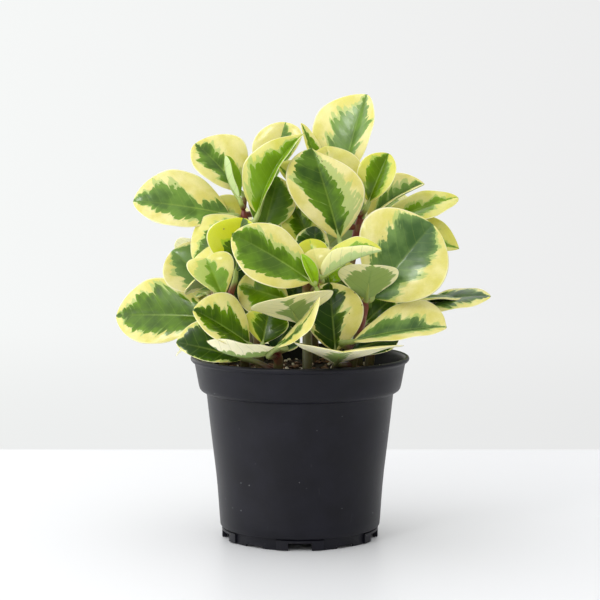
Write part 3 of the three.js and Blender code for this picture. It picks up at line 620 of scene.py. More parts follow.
def blade_points(leaf, t, u, way):
    """Points of one face of the blade, for arrays of t along and u across."""
    sign = np.where(u < 0, -1.0, 1.0)
    out = np.abs(u)
    peak = by_side(leaf["peak"], u)
    point = by_side(leaf["point"], u)
    lead = point * peak / (1 - peak)
    width = by_side(leaf["widths"], u) * (t / peak) ** lead * ((1 - t) / (1 - peak)) ** point
    fold = np.radians(by_side(leaf["fold"], u))
    curl = np.radians(by_side(leaf["curl"], u))
    turn = fold + curl * out
    safe = np.where(curl > 0, curl, 1)
    run = np.where(curl > 0, (np.sin(turn) - np.sin(fold)) / safe, out * np.cos(fold))
    rise = np.where(curl > 0, (np.cos(fold) - np.cos(turn)) / safe, out * np.sin(fold))
    rise = rise + DOME * np.sin(np.pi * out)
    along = t * leaf["length"] + by_side(leaf["notch"], u) * width * out
    share = along / leaf["length"]
    bow = leaf["arch"] * 4 * share * (1 - share)
    phase = leaf["seed"] * WAVE_PHASES[0] + WAVE_PHASES[1] * sign
    wave = WAVE * out ** 3 * np.sin(along / WAVE_LENGTH + phase) * np.minimum(1, 5 * t * (1 - t))
    edge = np.sqrt(np.clip(1 - out ** SIDE_FULLNESS, 0, 1)) * np.sqrt(np.clip(1 - t ** TIP_FULLNESS, 0, 1))
    lift = way * BLADE_MIDDLE * (1 - MARGIN_THINNING * out) * edge
    groove = RIB_GROOVE * np.exp(-((width * out / GROOVE_WIDTH) ** 2)) * (1 - t)
    lift = lift - groove * (1 if way > 0 else UNDER_GROOVE)
    tilt = turn * np.minimum(1, out * 8)
    spots = (
        leaf["base"]
        + along[..., None] * leaf["axis"]
        + (bow + width * rise + wave + lift * np.cos(tilt))[..., None] * leaf["face"]
        + (sign * (width * run - lift * np.sin(tilt)))[..., None] * leaf["side"]
    )
    return spots, sign * width * out, along


class ShootMesh:
    """Vertices, faces and what the materials read at each vertex."""

    def __init__(self):
        self.spots = []
        self.faces = []
        self.slots = []
        self.layers = {"shape": [], "look": [], "extra": []}
        self.count = 0

    def add(self, spots, faces, slot, shape, look, extra):
        self.spots.append(np.asarray(spots))
        self.faces.extend([[self.count + k for k in face] for face in faces])
        self.slots.extend([slot] * len(faces))
        for parts, values in zip(self.layers.values(), (shape, look, extra)):
            parts.append(np.asarray(values))
        self.count += len(spots)

    def mesh(self, name):
        made = bpy.data.meshes.new(name)
        made.from_pydata((np.concatenate(self.spots) * MM).tolist(), [], self.faces)
        made.polygons.foreach_set("material_index", self.slots)
        made.polygons.foreach_set("use_smooth", [True] * len(self.faces))
        for title, parts in self.layers.items():
            layer = made.attributes.new(title, "FLOAT_COLOR", "POINT")
            layer.data.foreach_set("color", np.concatenate(parts).astype(np.float32).ravel())
        made.update()
        return made


def read_look(leaf):
    """How a leaf is coloured: as written, or by its own chance draw where nothing is."""
    chance = random.Random(leaf["seed"])
    look = {side: [reach + chance.uniform(-1, 1) * REACH_SPREAD for reach in USUAL_REACH]
            for side in ("left", "right")}
    look.update(USUAL_LOOK)
    for name, span in CHANCE_LOOK.items():
        look[name] = chance.uniform(*span)
    look.update(LOOKS.get(leaf["number"], {}))
    return look


def add_blade(build, leaf):
    """Both faces of a blade, a grid each, which share the margins and close at the base and the tip."""
    columns = np.array([-c for c in BLADE_COLUMNS[:0:-1]] + list(BLADE_COLUMNS))
    steps = np.arange(1, BLADE_ROWS + 1) / (BLADE_ROWS + 1)
    rows = 0.5 - 0.5 * np.cos(np.pi * steps)
    rows = rows * ROW_CROWDING + steps * (1 - ROW_CROWDING)
    t, u = np.meshgrid(rows, columns, indexing="ij")
    look = read_look(leaf)
    facts = [look["blue"], look["deep"], look["frayed"]]
    ends = np.array([0.0, 0.0, 1.0])
    middle = np.zeros(1)
    spots = []
    shape = []
    extra = []
    rounds = [(t, u, 1), (t, u, -1)] + [(ends[k:k + 1], middle, way) for k, way in enumerate((1, -1, 1))]
    for some_t, some_u, way in rounds:
        points, across, along = blade_points(leaf, some_t, some_u, way)
        spots.append(points.reshape(-1, 3))
        shape.append(np.stack([across, along, some_u, some_t], -1).reshape(-1, 4))
        extra.append(np.tile([0.5 + 0.5 * way, *facts], (some_t.size, 1)))
    upper = np.arange(t.size).reshape(t.shape)
    under = upper + t.size
    under[:, 0] = upper[:, 0]
    under[:, -1] = upper[:, -1]
    tip = 2 * t.size + 2
    faces = []
    for grid, base, turn in ((upper, 2 * t.size, 1), (under, 2 * t.size + 1, -1)):
        for i in range(BLADE_ROWS - 1):
            for j in range(len(columns) - 1):
                face = [grid[i, j], grid[i, j + 1], grid[i + 1, j + 1], grid[i + 1, j]]
                faces.append(face[::turn])
        for j in range(len(columns) - 1):
            faces.append([base, grid[0, j + 1], grid[0, j]][::turn])
            faces.append([grid[-1, j], grid[-1, j + 1], tip][::turn])
    faces.append([tip - 2, upper[0, 0], tip - 1])
    faces.append([tip - 1, upper[0, -1], tip - 2])
    shape = np.concatenate(shape)
    u, t = shape[:, 2], shape[:, 3]
    sides = [np.interp(t, REACH_PLACES, look[side]) for side in ("left", "right")]
    seeds = np.full(len(t), leaf["seed"])
    paint = [seeds, by_side(sides, u), by_side(look["fringe"], u), np.full(len(t), look["young"])]
    build.add(np.concatenate(spots), faces, 0, shape, np.stack(paint, -1), np.concatenate(extra))


def add_scars(build, leaf):
    """Flat brown spots on the upper face, each where the blade lines up with the written place."""
    steps = np.linspace(0.02, 0.98, SCAR_SEARCH_STEPS)
    t, u = np.meshgrid(steps, 2 * steps - 1, indexing="ij")
    points = blade_points(leaf, t, u, 1)[0]
    k = (points[..., 1] + EYE_DISTANCE) / EYE_DISTANCE
    across = points[..., 0] / k
    up = EYE_HEIGHT + (points[..., 2] - EYE_HEIGHT) / k
    chance = random.Random(leaf["seed"])
    width = sum(leaf["widths"]) / 2
    for x, z, size in SCARS.get(leaf["number"], []):
        best = np.argmin((across - x) ** 2 + (up - z) ** 2)
        turns = np.arange(SCAR_SIDES) * 2 * math.pi / SCAR_SIDES
        reach = np.array([size / 2 * chance.uniform(*SCAR_UNEVENNESS) for _ in turns])
        ring_t = np.clip(t.flat[best] + reach * np.cos(turns) / leaf["length"], 0.01, 0.99)
        ring_u = np.clip(u.flat[best] + reach * np.sin(turns) / width, -0.99, 0.99)
        ring_t = np.append(ring_t, t.flat[best])
        ring_u = np.append(ring_u, u.flat[best])
        spots = blade_points(leaf, ring_t, ring_u, 1)[0] + leaf["face"] * SCAR_LIFT
        faces = [(SCAR_SIDES, j, (j + 1) % SCAR_SIDES) for j in range(SCAR_SIDES)]
        blank = np.zeros((SCAR_SIDES + 1, 4))
        build.add(spots, faces, 2, blank, blank, blank)


def add_tube(build, path, radii, red, seed):
    """A round stem or stalk along a path, closed at both ends."""
    path = np.asarray(path)
    count = len(path)
    tangents = np.gradient(path, axis=0)
    normal = np.cross(tangents[0], [0.3, 0.9, 0.2])
    spots = []
    shape = []
    travelled = 0.0
    for k in range(count):
        tangent = unit(tangents[k])
        normal = unit(normal - tangent * normal.dot(tangent))
        other = np.cross(tangent, normal)
        if k > 0:
            travelled += np.linalg.norm(path[k] - path[k - 1])
        for side in range(TUBE_SIDES):
            angle = 2 * math.pi * side / TUBE_SIDES
            spots.append(path[k] + (normal * math.cos(angle) + other * math.sin(angle)) * radii[k])
            shape.append([red[k], travelled, angle, radii[k]])
    rings = [list(range(k * TUBE_SIDES, (k + 1) * TUBE_SIDES)) for k in range(count)]
    faces = [face for low, high in zip(rings, rings[1:]) for face in ring_faces(low, high)]
    faces += [rings[0][::-1], rings[-1]]
    number = len(spots)
    build.add(spots, faces, 1, shape, np.tile([seed, 0, 0, 0], (number, 1)), np.zeros((number, 4)))


def stem_path(stem):
    foot, *rest = [place(row) for row in stem]
    feet = [np.array([foot[0], foot[1], height]) for height in STEM_HEIGHTS]
    return smooth_path([*feet, *rest], STEM_STEPS)


def add_stalk(build, path, leaf):
    """A leaf stalk that starts on the stem and runs out under the midrib."""
    tip = path[-1]
    reach = math.hypot(*(leaf["base"] - tip)[:2])
    drop = min(max(STALK_DROP * reach, STALK_DROP_RANGE[0]), STALK_DROP_RANGE[1])
    wanted = max(STALK_LOWEST, min(tip[2] - STEM_TIP_LEFT, leaf["base"][2] - drop))
    misses = np.abs(path[:, 2] - wanted) + STALK_NEARNESS * np.linalg.norm(path - leaf["base"], axis=1)
    start = path[int(misses.argmin())]
    gap = np.linalg.norm(leaf["base"] - start)
    lead = leaf["base"] - leaf["axis"] * min(STALK_LEAD, gap * 0.4)
    curve = smooth_path([start, lead, leaf["base"]], STALK_STEPS)
    count = len(RIB_PLACES)
    under, _, _ = blade_points(leaf, np.array(RIB_PLACES), np.zeros(count), -1)
    rib = under + np.array(RIB_SINKS)[:, None] * leaf["face"]
    full = min(1, max(leaf["widths"]) / FULL_STALK_WIDTH)
    size = STALK_RADIUS * (THIN_STALK + (1 - THIN_STALK) * full)
    taper = STALK_FOOT - STALK_TAPER * np.linspace(0, 1, len(curve)) ** 0.6
    radii = size * np.concatenate([taper, RIB_SIZES])
    red = np.clip(1 - np.linspace(0, STALK_PALING, len(curve)), 0, 1)
    add_tube(build, np.concatenate([curve, rib]), radii, np.append(red, np.zeros(count)), leaf["seed"])


def make_shoot(node, shoot, materials):
    build = ShootMesh()
    path = stem_path(shoot["stem"])
    shares = np.linspace(0, 1, len(path))
    ending = np.clip((shares - 1) / STEM_END_SHARE + 1, 0, 1)
    radii = STEM_RADIUS * (1 - STEM_TAPER * shares) * (1 - STEM_END_NARROWING * ending)
    add_tube(build, path, radii, STEM_RED[0] + STEM_RED[1] * shares ** 2, len(node))
    for row in shoot["leaves"]:
        leaf = read_leaf(row)
        add_stalk(build, path, leaf)
        add_blade(build, leaf)
        add_scars(build, leaf)
    piece = new_object("peperomia_" + node, build.mesh("peperomia_" + node), *materials)
    claim(piece, node)


# The living blade: waxy skin over thick flesh, green in the middle with fingers of green along the
# side veins, grey-green where the cream layer lies over the green, and cream at the margins.
# The dark greens serve dark leaves and also paint shade on leaves that lie in shade. The bluish green is
# lighter and in part paints sheen.
BLADE_COLOURS = {
    "cream": "#e0d79a", "yellow": "#c9bf55", "young": "#b8be0a", "rim": "#f2ecbf",
    "grey_green": "#a4b96f", "fresh_green": "#86ad10", "green": "#638a00", "deep": "#223f00",
    "bluish_green_and_sheen": "#729150", "deep_blue": "#2c4c2c", "rib": "#a9c250", "under_cream": "#faf4cc",
    "under_green": "#8fa85c", "under_young": "#cfe2a2", "under_rib": "#557d38",
}
VEIN_LEAN = 0.6
VEIN_BEND = 0.014
VEIN_SPACING = 6.5
VEIN_WIDTH = 0.4
RIB_WIDTHS = (0.8, 0.1)
RIM_PLACES = (0.95, 0.985)
# The edge of the green: how far apart its lobes lie, how far they wander, and how far out lobes,
# broad fingers and mottling carry it, as shares of the half width. Then how soft it is.
LOBE_SPACING = 4.6
LOBE_WANDER = 7
LOBE_REACH = 0.17
FINGER_REACH = 0.9
FINGER_SHIFT = -0.12
MOTTLE_REACH = 0.22
UPPER_SOFTNESS = 0.015
UNDER_SOFTNESS = 0.045
# Patterns drawn out along the side veins: their length, what sets each apart, the detail, and how
# much they change towards the margin. Then the even ones: their size and the detail.
VEIN_PATTERNS = {"broad": (7.5, 0, 1, 0.02), "fine": (4.4, 11, 1, 0.09), "patch": (4.0, 31, 2, 0.1)}
EVEN_PATTERNS = {"cloud": (10.526, 3), "mottle": (3.0303, 2), "speckle": (0.7143, 2)}
SMOOTH = {"interpolation_type": "SMOOTHSTEP"}


def read_blade(add):
    """What each point of a blade holds, and its place counted along side veins that bend forward."""
    shape, look, extra = [add("Attribute", attribute_name=name) for name in ("shape", "look", "extra")]
    leaf = SimpleNamespace(
        t=shape.outputs["Alpha"], young=look.outputs["Alpha"], frayed=extra.outputs["Alpha"]
    )
    across, along, u = add("SeparateXYZ", [shape.outputs["Vector"]]).outputs
    seed, leaf.reach, leaf.fringe = add("SeparateXYZ", [look.outputs["Vector"]]).outputs
    leaf.upper, leaf.blue, leaf.deep = add("SeparateXYZ", [extra.outputs["Vector"]]).outputs
    leaf.out = add("Math", [u], operation="ABSOLUTE")
    leaf.far = add("Math", [across], operation="ABSOLUTE")
    side = add("Math", [across], operation="SIGN")
    bend = add("Math", [leaf.far, VEIN_BEND, VEIN_LEAN], operation="MULTIPLY_ADD")
    lead = add("Math", [leaf.far, bend], operation="MULTIPLY")
    leaf.vein = add("Math", [along, lead], operation="SUBTRACT")
    own = add("Math", [seed, 1.93], operation="MULTIPLY")
    row = add("Math", [side, 3.7, own], operation="MULTIPLY_ADD")
    for name, (length, shift, detail, drift) in VEIN_PATTERNS.items():
        spot = add("CombineXYZ", [
            add("Math", [leaf.vein, length], operation="DIVIDE"),
            add("Math", [row, shift], operation="ADD"),
            add("Math", [leaf.far, drift], operation="MULTIPLY"),
        ])
        field = add("TexNoise", {"Vector": spot, "Scale": 1, "Detail": detail})
        setattr(leaf, name, add("Math", [field, 0.5], operation="SUBTRACT"))
    position = add("TexCoord").outputs["Object"]
    for name, (size, detail) in EVEN_PATTERNS.items():
        made = add("TexNoise", {"Vector": position, "Scale": per_metre(size), "Detail": detail})
        setattr(leaf, name, made)
    return leaf


def mark_blade(add, leaf):
    """How far inside the green each point lies, with its lobes, and where veins and rim show."""
    inner = add("Math", [leaf.reach, leaf.out], operation="SUBTRACT")
    wavy = add("Math", [leaf.fine, LOBE_WANDER, leaf.vein], operation="MULTIPLY_ADD")
    lobe = add("Math", [wavy, LOBE_SPACING / 2], operation="PINGPONG")
    lobe = add("Math", [lobe, LOBE_SPACING / 2], operation="DIVIDE")
    rest = add("Math", [2, lobe], operation="SUBTRACT")
    round_lobe = add("Math", [add("Math", [lobe, rest], operation="MULTIPLY")], operation="SQRT")
    broad = add("Math", [leaf.broad, FINGER_REACH, FINGER_SHIFT], operation="MULTIPLY_ADD")
    fingers = add("Math", [round_lobe, LOBE_REACH, broad], operation="MULTIPLY_ADD")
    inner = add("Math", [fingers, leaf.frayed, inner], operation="MULTIPLY_ADD")
    mottle = add("Math", [leaf.mottle, 0.5], operation="SUBTRACT")
    leaf.inner = add("Math", [mottle, MOTTLE_REACH, inner], operation="MULTIPLY_ADD")
    sharper = UPPER_SOFTNESS - UNDER_SOFTNESS
    soft = add("Math", [leaf.upper, sharper, UNDER_SOFTNESS], operation="MULTIPLY_ADD")
    hard = add("Math", [soft, -1], operation="MULTIPLY")
    leaf.is_green = add("MapRange", [leaf.inner, hard, soft], **SMOOTH)
    fringed = add("Math", [leaf.inner, leaf.fringe], operation="ADD")
    fringed = add("Math", [leaf.patch, 0.7, fringed], operation="MULTIPLY_ADD")
    leaf.is_fringe = add("MapRange", [fringed, -0.03, 0.05], **SMOOTH)
    patch = add("Math", [leaf.inner, -0.35, leaf.patch], operation="MULTIPLY_ADD")
    leaf.is_patch = add("MapRange", [patch, 0.08, 0.13], **SMOOTH)
    leaf.is_cloud = add("MapRange", [leaf.cloud, 0.35, 0.68], **SMOOTH)
    wobble = add("Math", [leaf.cloud, 3, leaf.vein], operation="MULTIPLY_ADD")
    leaf.comb = add("Math", [wobble, VEIN_SPACING / 2], operation="PINGPONG")
    leaf.is_vein = add("MapRange", [leaf.comb, VEIN_WIDTH, 0], **SMOOTH)
    middle = add("MapRange", [leaf.far, *RIB_WIDTHS], **SMOOTH)
    back = add("Math", [1, leaf.t], operation="SUBTRACT")
    leaf.is_rib = add("Math", [middle, back], operation="MULTIPLY")
    leaf.is_rim = add("MapRange", [leaf.out, *RIM_PLACES], **SMOOTH)


def upper_colour(add, leaf):
    """Cream, grey-green and full green with painted sheen and painted shade, pale veins and a clear rim."""
    tone = BLADE_COLOURS
    pale = paint_over(add, tone["cream"], [
        (leaf.is_cloud, 0.7, tone["yellow"]), (leaf.young, 1, tone["young"])
    ])
    half_green = paint_over(add, tone["grey_green"], [(leaf.young, 1, tone["fresh_green"])])
    # Lit and shaded copies of the green: the bluish green is in part painted sheen, the dark green in part
    # painted shade.
    lit_green = paint_over(add, tone["green"], [(leaf.blue, 1, tone["bluish_green_and_sheen"])])
    dark_and_shaded_green = paint_over(add, tone["deep"], [(leaf.blue, 1, tone["deep_blue"])])
    near_edge = add("MapRange", [leaf.inner, 0.3, 0], **SMOOTH)
    dark_tone_and_shade = add("Math", [leaf.is_cloud, 0.5, leaf.deep], operation="MULTIPLY_ADD")
    dark_tone_and_shade = add("Math", [near_edge, -0.45, dark_tone_and_shade], operation="MULTIPLY_ADD")
    dark_tone_and_shade = add("MapRange", [dark_tone_and_shade, -0.2, 1.2], **SMOOTH)
    shallow = add("Math", [1, leaf.deep], operation="SUBTRACT")
    fresh = add("Math", [leaf.young, shallow], operation="MULTIPLY")
    greens = paint_over(add, lit_green, [
        (dark_tone_and_shade, 1, dark_and_shaded_green), (fresh, 1, tone["fresh_green"]), (leaf.is_patch, 0.3, half_green)
    ])
    return paint_over(add, pale, [
        (leaf.is_fringe, 0.75, half_green), (leaf.is_green, 1, greens), (leaf.is_vein, 0.1, tone["rib"]),
        (leaf.is_rib, 0.4, tone["rib"]), (leaf.is_rim, 0.7, tone["rim"]),
    ])


def under_colour(add, leaf):
    """Paler than the upper face, with darker veins."""
    tone = BLADE_COLOURS
    pale = paint_over(add, tone["under_cream"], [(leaf.young, 0.5, tone["young"])])
    green = paint_over(add, tone["under_green"], [(leaf.young, 1, tone["under_young"])])
    return paint_over(add, pale, [
        (leaf.is_green, 1, green), (leaf.is_vein, 0.25, tone["under_rib"]),
        (leaf.is_rib, 0.6, tone["under_rib"]),
    ])


def make_blade_material():
    """Wax gives the upper face its gloss, the underside is duller, and the flesh swells between veins."""
    material, shader, add = new_material("variegated_leaf_blade")
    leaf = read_blade(add)
    mark_blade(add, leaf)
    skin = paint_over(add, under_colour(add, leaf), [(leaf.upper, 1, upper_colour(add, leaf))])
    shade = add("Math", [leaf.speckle, 0.14, 0.93], operation="MULTIPLY_ADD")
    dull = add("Math", [1, leaf.upper], operation="SUBTRACT")
    gloss = add("Math", [leaf.speckle, 0.1, 0.14], operation="MULTIPLY_ADD")
    swell = add("MapRange", [leaf.comb, 0, VEIN_SPACING / 2], **SMOOTH)
    swell = add("Math", [swell, 0.16], operation="MULTIPLY")
    height = add("Math", [leaf.speckle, 0.06, swell], operation="MULTIPLY_ADD")
    height = add("Math", [leaf.cloud, 0.8, height], operation="MULTIPLY_ADD")
    set_inputs(shader, {
        "Base Color": add("HueSaturation", {"Value": shade, "Color": skin}),
        "Roughness": add("Math", [dull, 0.2, gloss], operation="MULTIPLY_ADD"),
        "IOR": 1.45, "Specular IOR Level": 0.38, "Subsurface Weight": 0.35,
        "Subsurface Radius": (0.9, 1.0, 0.35), "Subsurface Scale": 1.6 * MM,
        "Normal": add("Bump", {"Height": height, "Distance": 0.5 * MM, "Strength": 0.5}),
    })
    return material


# Stems and stalks: smooth watery flesh, pale green, red-brown towards the foot of every stalk, and
# painted shade, dark brown, on all that stands low over the soil.
BLOTCH_SIZE = 3.8462
STEM_FOOT_SHADE = (135, 100)


def make_stem_material():
    material, shader, add = new_material("fleshy_stem")
    red = add("SeparateXYZ", [add("Attribute", attribute_name="shape").outputs["Vector"]])
    position = add("TexCoord").outputs["Object"]
    blotch = add("TexNoise", {"Vector": position, "Scale": per_metre(BLOTCH_SIZE), "Detail": 4})
    uneven = add("Math", [blotch, 0.5], operation="SUBTRACT")
    amount = add("Math", [uneven, 0.9, red], operation="MULTIPLY_ADD")
    is_red = add("MapRange", [amount, 0.15, 0.85], **SMOOTH)
    # Painted shade: stems and stalks turn dark brown low down near the soil.
    up = add("Math", [blotch, 0.02, add("SeparateXYZ", [position]).outputs["Z"]], operation="MULTIPLY_ADD")
    is_painted_shade = add("MapRange", [up, STEM_FOOT_SHADE[0] * MM, STEM_FOOT_SHADE[1] * MM], **SMOOTH)
    set_inputs(shader, {
        "Base Color": paint_over(add, "#9fb160", [(is_red, 1, "#763226"), (is_painted_shade, 0.85, "#33241a")]),
        "Roughness": 0.38, "Subsurface Weight": 0.12, "Subsurface Radius": (1.0, 0.5, 0.2),
        "Subsurface Scale": 2 * MM,
        "Normal": add("Bump", {"Height": blotch, "Distance": 0.3 * MM, "Strength": 0.4}),
    })
    return material


# Scars: dried brown cork where a blade was nicked, matt beside the wax.
def make_scar_material():
    material, shader, _ = new_material("leaf_scar_cork")
    set_inputs(shader, {"Base Color": "#5a4a1c", "Roughness": 0.7})
    return material


# Black polypropylene, injection moulded: a satin skin with fine upright rubs and a little dust.
RUB_SIZE = 2.381
DUST_SIZE = 16.667
GRAIN_SIZE = 0.45455
SPECK_SPACING = 4.5


def make_pot_material():
    material, shader, add = new_material("black_polypropylene")
    position = add("TexCoord").outputs["Object"]
    upright = add("Mapping", {"Vector": position, "Scale": (1.0, 1.0, 0.12)})
    rubs = add("TexNoise", {"Vector": upright, "Scale": per_metre(RUB_SIZE), "Detail": 5, "Roughness": 0.7})
    dust = add("TexNoise", {"Vector": position, "Scale": per_metre(DUST_SIZE), "Detail": 6})
    grain = add("TexNoise", {"Vector": position, "Scale": per_metre(GRAIN_SIZE), "Detail": 2})
    rubbed = add("MapRange", [rubs, 0.62, 0.78], **SMOOTH)
    dusty = add("MapRange", [dust, 0.4, 0.7], **SMOOTH)
    worn = add("Math", [rubbed, dusty], operation="MULTIPLY")
    specks = add("TexVoronoi", {"Vector": position, "Scale": per_metre(SPECK_SPACING)})
    chance = add("SeparateXYZ", [specks.outputs["Color"]])
    kept = add("MapRange", [chance, 0.72, 0.8], **SMOOTH)
    is_speck = add("MapRange", [specks, 0.09, 0.05], **SMOOTH)
    is_speck = add("Math", [is_speck, kept], operation="MULTIPLY")
    is_pale = add("MapRange", [dust, 0.3, 0.8], **SMOOTH)
    rough = add("Math", [dust, 0.12, 0.36], operation="MULTIPLY_ADD")
    height = add("Math", [rubs, 0.4, grain], operation="MULTIPLY_ADD")
    set_inputs(shader, {
        "Base Color": paint_over(add, "#101017", [
            (is_pale, 1, "#171720"), (worn, 0.35, "#4a4b4f"), (is_speck, 0.55, "#8d8f92")
        ]),
        "Roughness": add("Math", [worn, 0.1, rough], operation="MULTIPLY_ADD"),
        "IOR": 1.49, "Specular IOR Level": 0.22,
        "Normal": add("Bump", {"Height": height, "Distance": 0.1 * MM, "Strength": 0.5}),
    })
    return material


# Crumbly things: peat, bark and perlite, each matt with its own grain.
def make_crumb_material(name, dark, light, size, rough):
    material, shader, add = new_material(name)
    position = add("TexCoord").outputs["Object"]
    tint = add("TexNoise", {"Vector": position, "Scale": per_metre(size), "Detail": 6})
    is_light = add("MapRange", [tint, 0.32, 0.7], **SMOOTH)
    set_inputs(shader, {
        "Base Color": paint_over(add, dark, [(is_light, 1, light)]), "Roughness": rough,
        "Normal": add("Bump", {"Height": tint, "Distance": 0.6 * MM, "Strength": 0.8}),
    })
    return material


# The pot
def pot_wall_mesh():
    spots = []
    rings = []
    for radius, height in POT_OUTSIDE + POT_INSIDE:
        steps = ROUND_STEPS if radius > 0 else 1
        first = len(spots)
        spots.extend(ring_spots(radius, height, steps))
        rings.append(list(range(first, first + steps)) * (ROUND_STEPS // steps))
    faces = [face for low, high in zip(rings, rings[1:]) for face in ring_faces(low, high)]
    return new_mesh("nursery_pot", spots, faces)


def slot_mesh(angle, across, top):
    """A block that stands out from the axis at an angle, for cutting a slot."""
    turn = Matrix.Rotation(angle, 4, "Z")
    near, far = SLOT_RADII
    corners = ((near, -1), (far, -1), (far, 1), (near, 1))
    spots = [turn @ Vector((radius, side * across / 2, height))
             for height in (CUT_FROM, top) for radius, side in corners]
    faces = [(3, 2, 1, 0), (4, 5, 6, 7), (0, 1, 5, 4), (1, 2, 6, 5), (2, 3, 7, 6), (3, 0, 4, 7)]
    return new_mesh("slot", spots, faces)


def slot_frame_mesh(middle):
    """A bent plate around the axis, for the raised frame of a slot."""
    half = math.radians(FRAME_HALF_ANGLE)
    near, far = FRAME_RADII
    low, high = FRAME_HEIGHTS
    spots = []
    for k in range(FRAME_STEPS + 1):
        angle = middle - half + 2 * half * k / FRAME_STEPS
        for radius, height in ((near, low), (far, low), (far, high), (near, high)):
            spots.append((radius * math.cos(angle), radius * math.sin(angle), height))
    rings = [list(range(4 * k, 4 * k + 4)) for k in range(FRAME_STEPS + 1)]
    faces = [tuple(rings[0]), tuple(rings[-1][::-1])]
    for low_ring, high_ring in zip(rings, rings[1:]):
        faces.extend(face[::-1] for face in ring_faces(low_ring, high_ring))
    return new_mesh("slot_frame", spots, faces)


def drain_mesh(angle):
    """A post for cutting a drain hole."""
    x = DRAIN_RING * math.cos(angle)
    y = DRAIN_RING * math.sin(angle)
    spots = [spot for height in (CUT_FROM, DRAIN_TOP)
             for spot in ring_spots(DRAIN_RADIUS, height, DRAIN_STEPS, x, y)]
    low = list(range(DRAIN_STEPS))
    high = [DRAIN_STEPS + k for k in low]
    return new_mesh("drain", spots, [tuple(low[::-1]), tuple(high), *ring_faces(low, high)])


def join_or_cut(piece, mesh, operation):
    """Join another mesh on, or cut it out."""
    tool = new_object("tool", mesh)
    change = piece.modifiers.new("change", "BOOLEAN")
    change.operation = operation
    change.solver = "EXACT"
    change.object = tool
    graph = bpy.context.evaluated_depsgraph_get()
    result = bpy.data.meshes.new_from_object(piece.evaluated_get(graph))
    piece.modifiers.clear()
    old = piece.data
    piece.data = result
    bpy.data.meshes.remove(old)
    bpy.data.objects.remove(tool)
    bpy.data.meshes.remove(mesh)


def make_pot():
    piece = new_object("nursery_pot", pot_wall_mesh(), make_pot_material())
    for slot in range(SLOT_COUNT):
        angle = 2 * math.pi * slot / SLOT_COUNT - math.pi / 2
        between = angle + math.pi / SLOT_COUNT
        join_or_cut(piece, slot_frame_mesh(angle), "UNION")
        join_or_cut(piece, slot_mesh(angle, SLOT_WIDTH, SLOT_TOP), "DIFFERENCE")
        join_or_cut(piece, slot_mesh(between, SMALL_GAP_WIDTH, SMALL_GAP_TOP), "DIFFERENCE")
        join_or_cut(piece, drain_mesh(between), "DIFFERENCE")
    mesh = piece.data
    mesh.name = "nursery_pot"
    mesh.polygons.foreach_set("use_smooth", [True] * len(mesh.polygons))
    mesh.set_sharp_from_angle(angle=math.radians(SHARP_ANGLE))
    claim(piece, "pot")


# The soil
def soil_height(x, y):
    height = SOIL_HEIGHT
    for size, rise, shift in SOIL_BUMPS:
        height += rise * noise.noise(Vector((x, y, 0)) / size + Vector(shift))
    rim = max(0, math.hypot(x, y) - SOIL_FLAT_RADIUS) / (SOIL_RADIUS - SOIL_FLAT_RADIUS)
    return height - SOIL_RIM_DROP * rim ** 2


def make_soil():
    spots = [(0, 0, soil_height(0, 0))]
    for ring in range(1, SOIL_RINGS + 1):
        for x, y, _ in ring_spots(SOIL_RADIUS * ring / SOIL_RINGS, 0, SOIL_SPOKES):
            spots.append((x, y, soil_height(x, y)))
    for radius, height in SOIL_SIDES:
        spots.extend(ring_spots(radius, height, SOIL_SPOKES))
    faces = [(0, 1 + k, 1 + (k + 1) % SOIL_SPOKES) for k in range(SOIL_SPOKES)]
    for ring in range(SOIL_RINGS + len(SOIL_SIDES) - 1):
        inner = 1 + ring * SOIL_SPOKES
        outer = inner + SOIL_SPOKES
        for k in range(SOIL_SPOKES):
            after = (k + 1) % SOIL_SPOKES
            faces.append((inner + k, outer + k, outer + after, inner + after))
    last = len(spots) - SOIL_SPOKES
    faces.append(tuple(range(last, last + SOIL_SPOKES))[::-1])
    mesh = new_mesh("peat_soil", spots, faces, smooth=True)
    piece = new_object("peat_soil", mesh, make_crumb_material(*SOIL_FINISH))
    claim(piece, "soil")


def strew(name, count, sizes, flatness, raised, finish, seed):
    """Lumps strewn over the soil, each turned, stretched and broken in its own way."""
    chance = random.Random(seed)
    spots = []
    faces = []
    for _ in range(count):
        radius = math.sqrt(chance.random()) * (SOIL_RADIUS - STREWN_INSET)
        angle = chance.random() * 2 * math.pi
        x = radius * math.cos(angle)
        y = radius * math.sin(angle)
        size = chance.uniform(*sizes) / 2
        stretch = [chance.uniform(*span) for span in (*LUMP_STRETCH, flatness)]
        turn = Matrix.Rotation(chance.random() * math.pi * 2, 3, "Z")
        turn = turn @ Matrix.Rotation(chance.uniform(-LUMP_TILT, LUMP_TILT), 3, "X")
        centre = Vector((x, y, soil_height(x, y) + size * raised))
        first = len(spots)
        for corner in LUMP_SPOTS:
            broken = chance.uniform(*LUMP_BREAK)
            spot = Vector([c * s * size * broken for c, s in zip(corner, stretch)])
            spots.append(centre + turn @ spot)
        faces.extend(tuple(first + k for k in face) for face in LUMP_FACES)
    piece = new_object(name, new_mesh(name, spots, faces), make_crumb_material(*finish))
    rounding = piece.modifiers.new("rounding", "SUBSURF")
    rounding.levels = 1
    rounding.render_levels = 1
    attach(piece, "root")


# The studio: a pale floor that runs into a pale backdrop, which is painted light: lighter on the left
# than on the right. Beyond its far edge the floor glows with no lamp, as a painted backdrop. The room
# is bright on the left, where its window is, and overhead, and dim on the right and behind the camera.
# Painted light: the backdrop is lighter on the left and dimmer on the right.
def painted_backdrop_light(add, sideways, spread):
    is_right = add("MapRange", [sideways, -spread, spread], **SMOOTH)
    return paint_over(add, LIT_BACKDROP_LEFT, [(is_right, 1, SHADED_BACKDROP_RIGHT)])


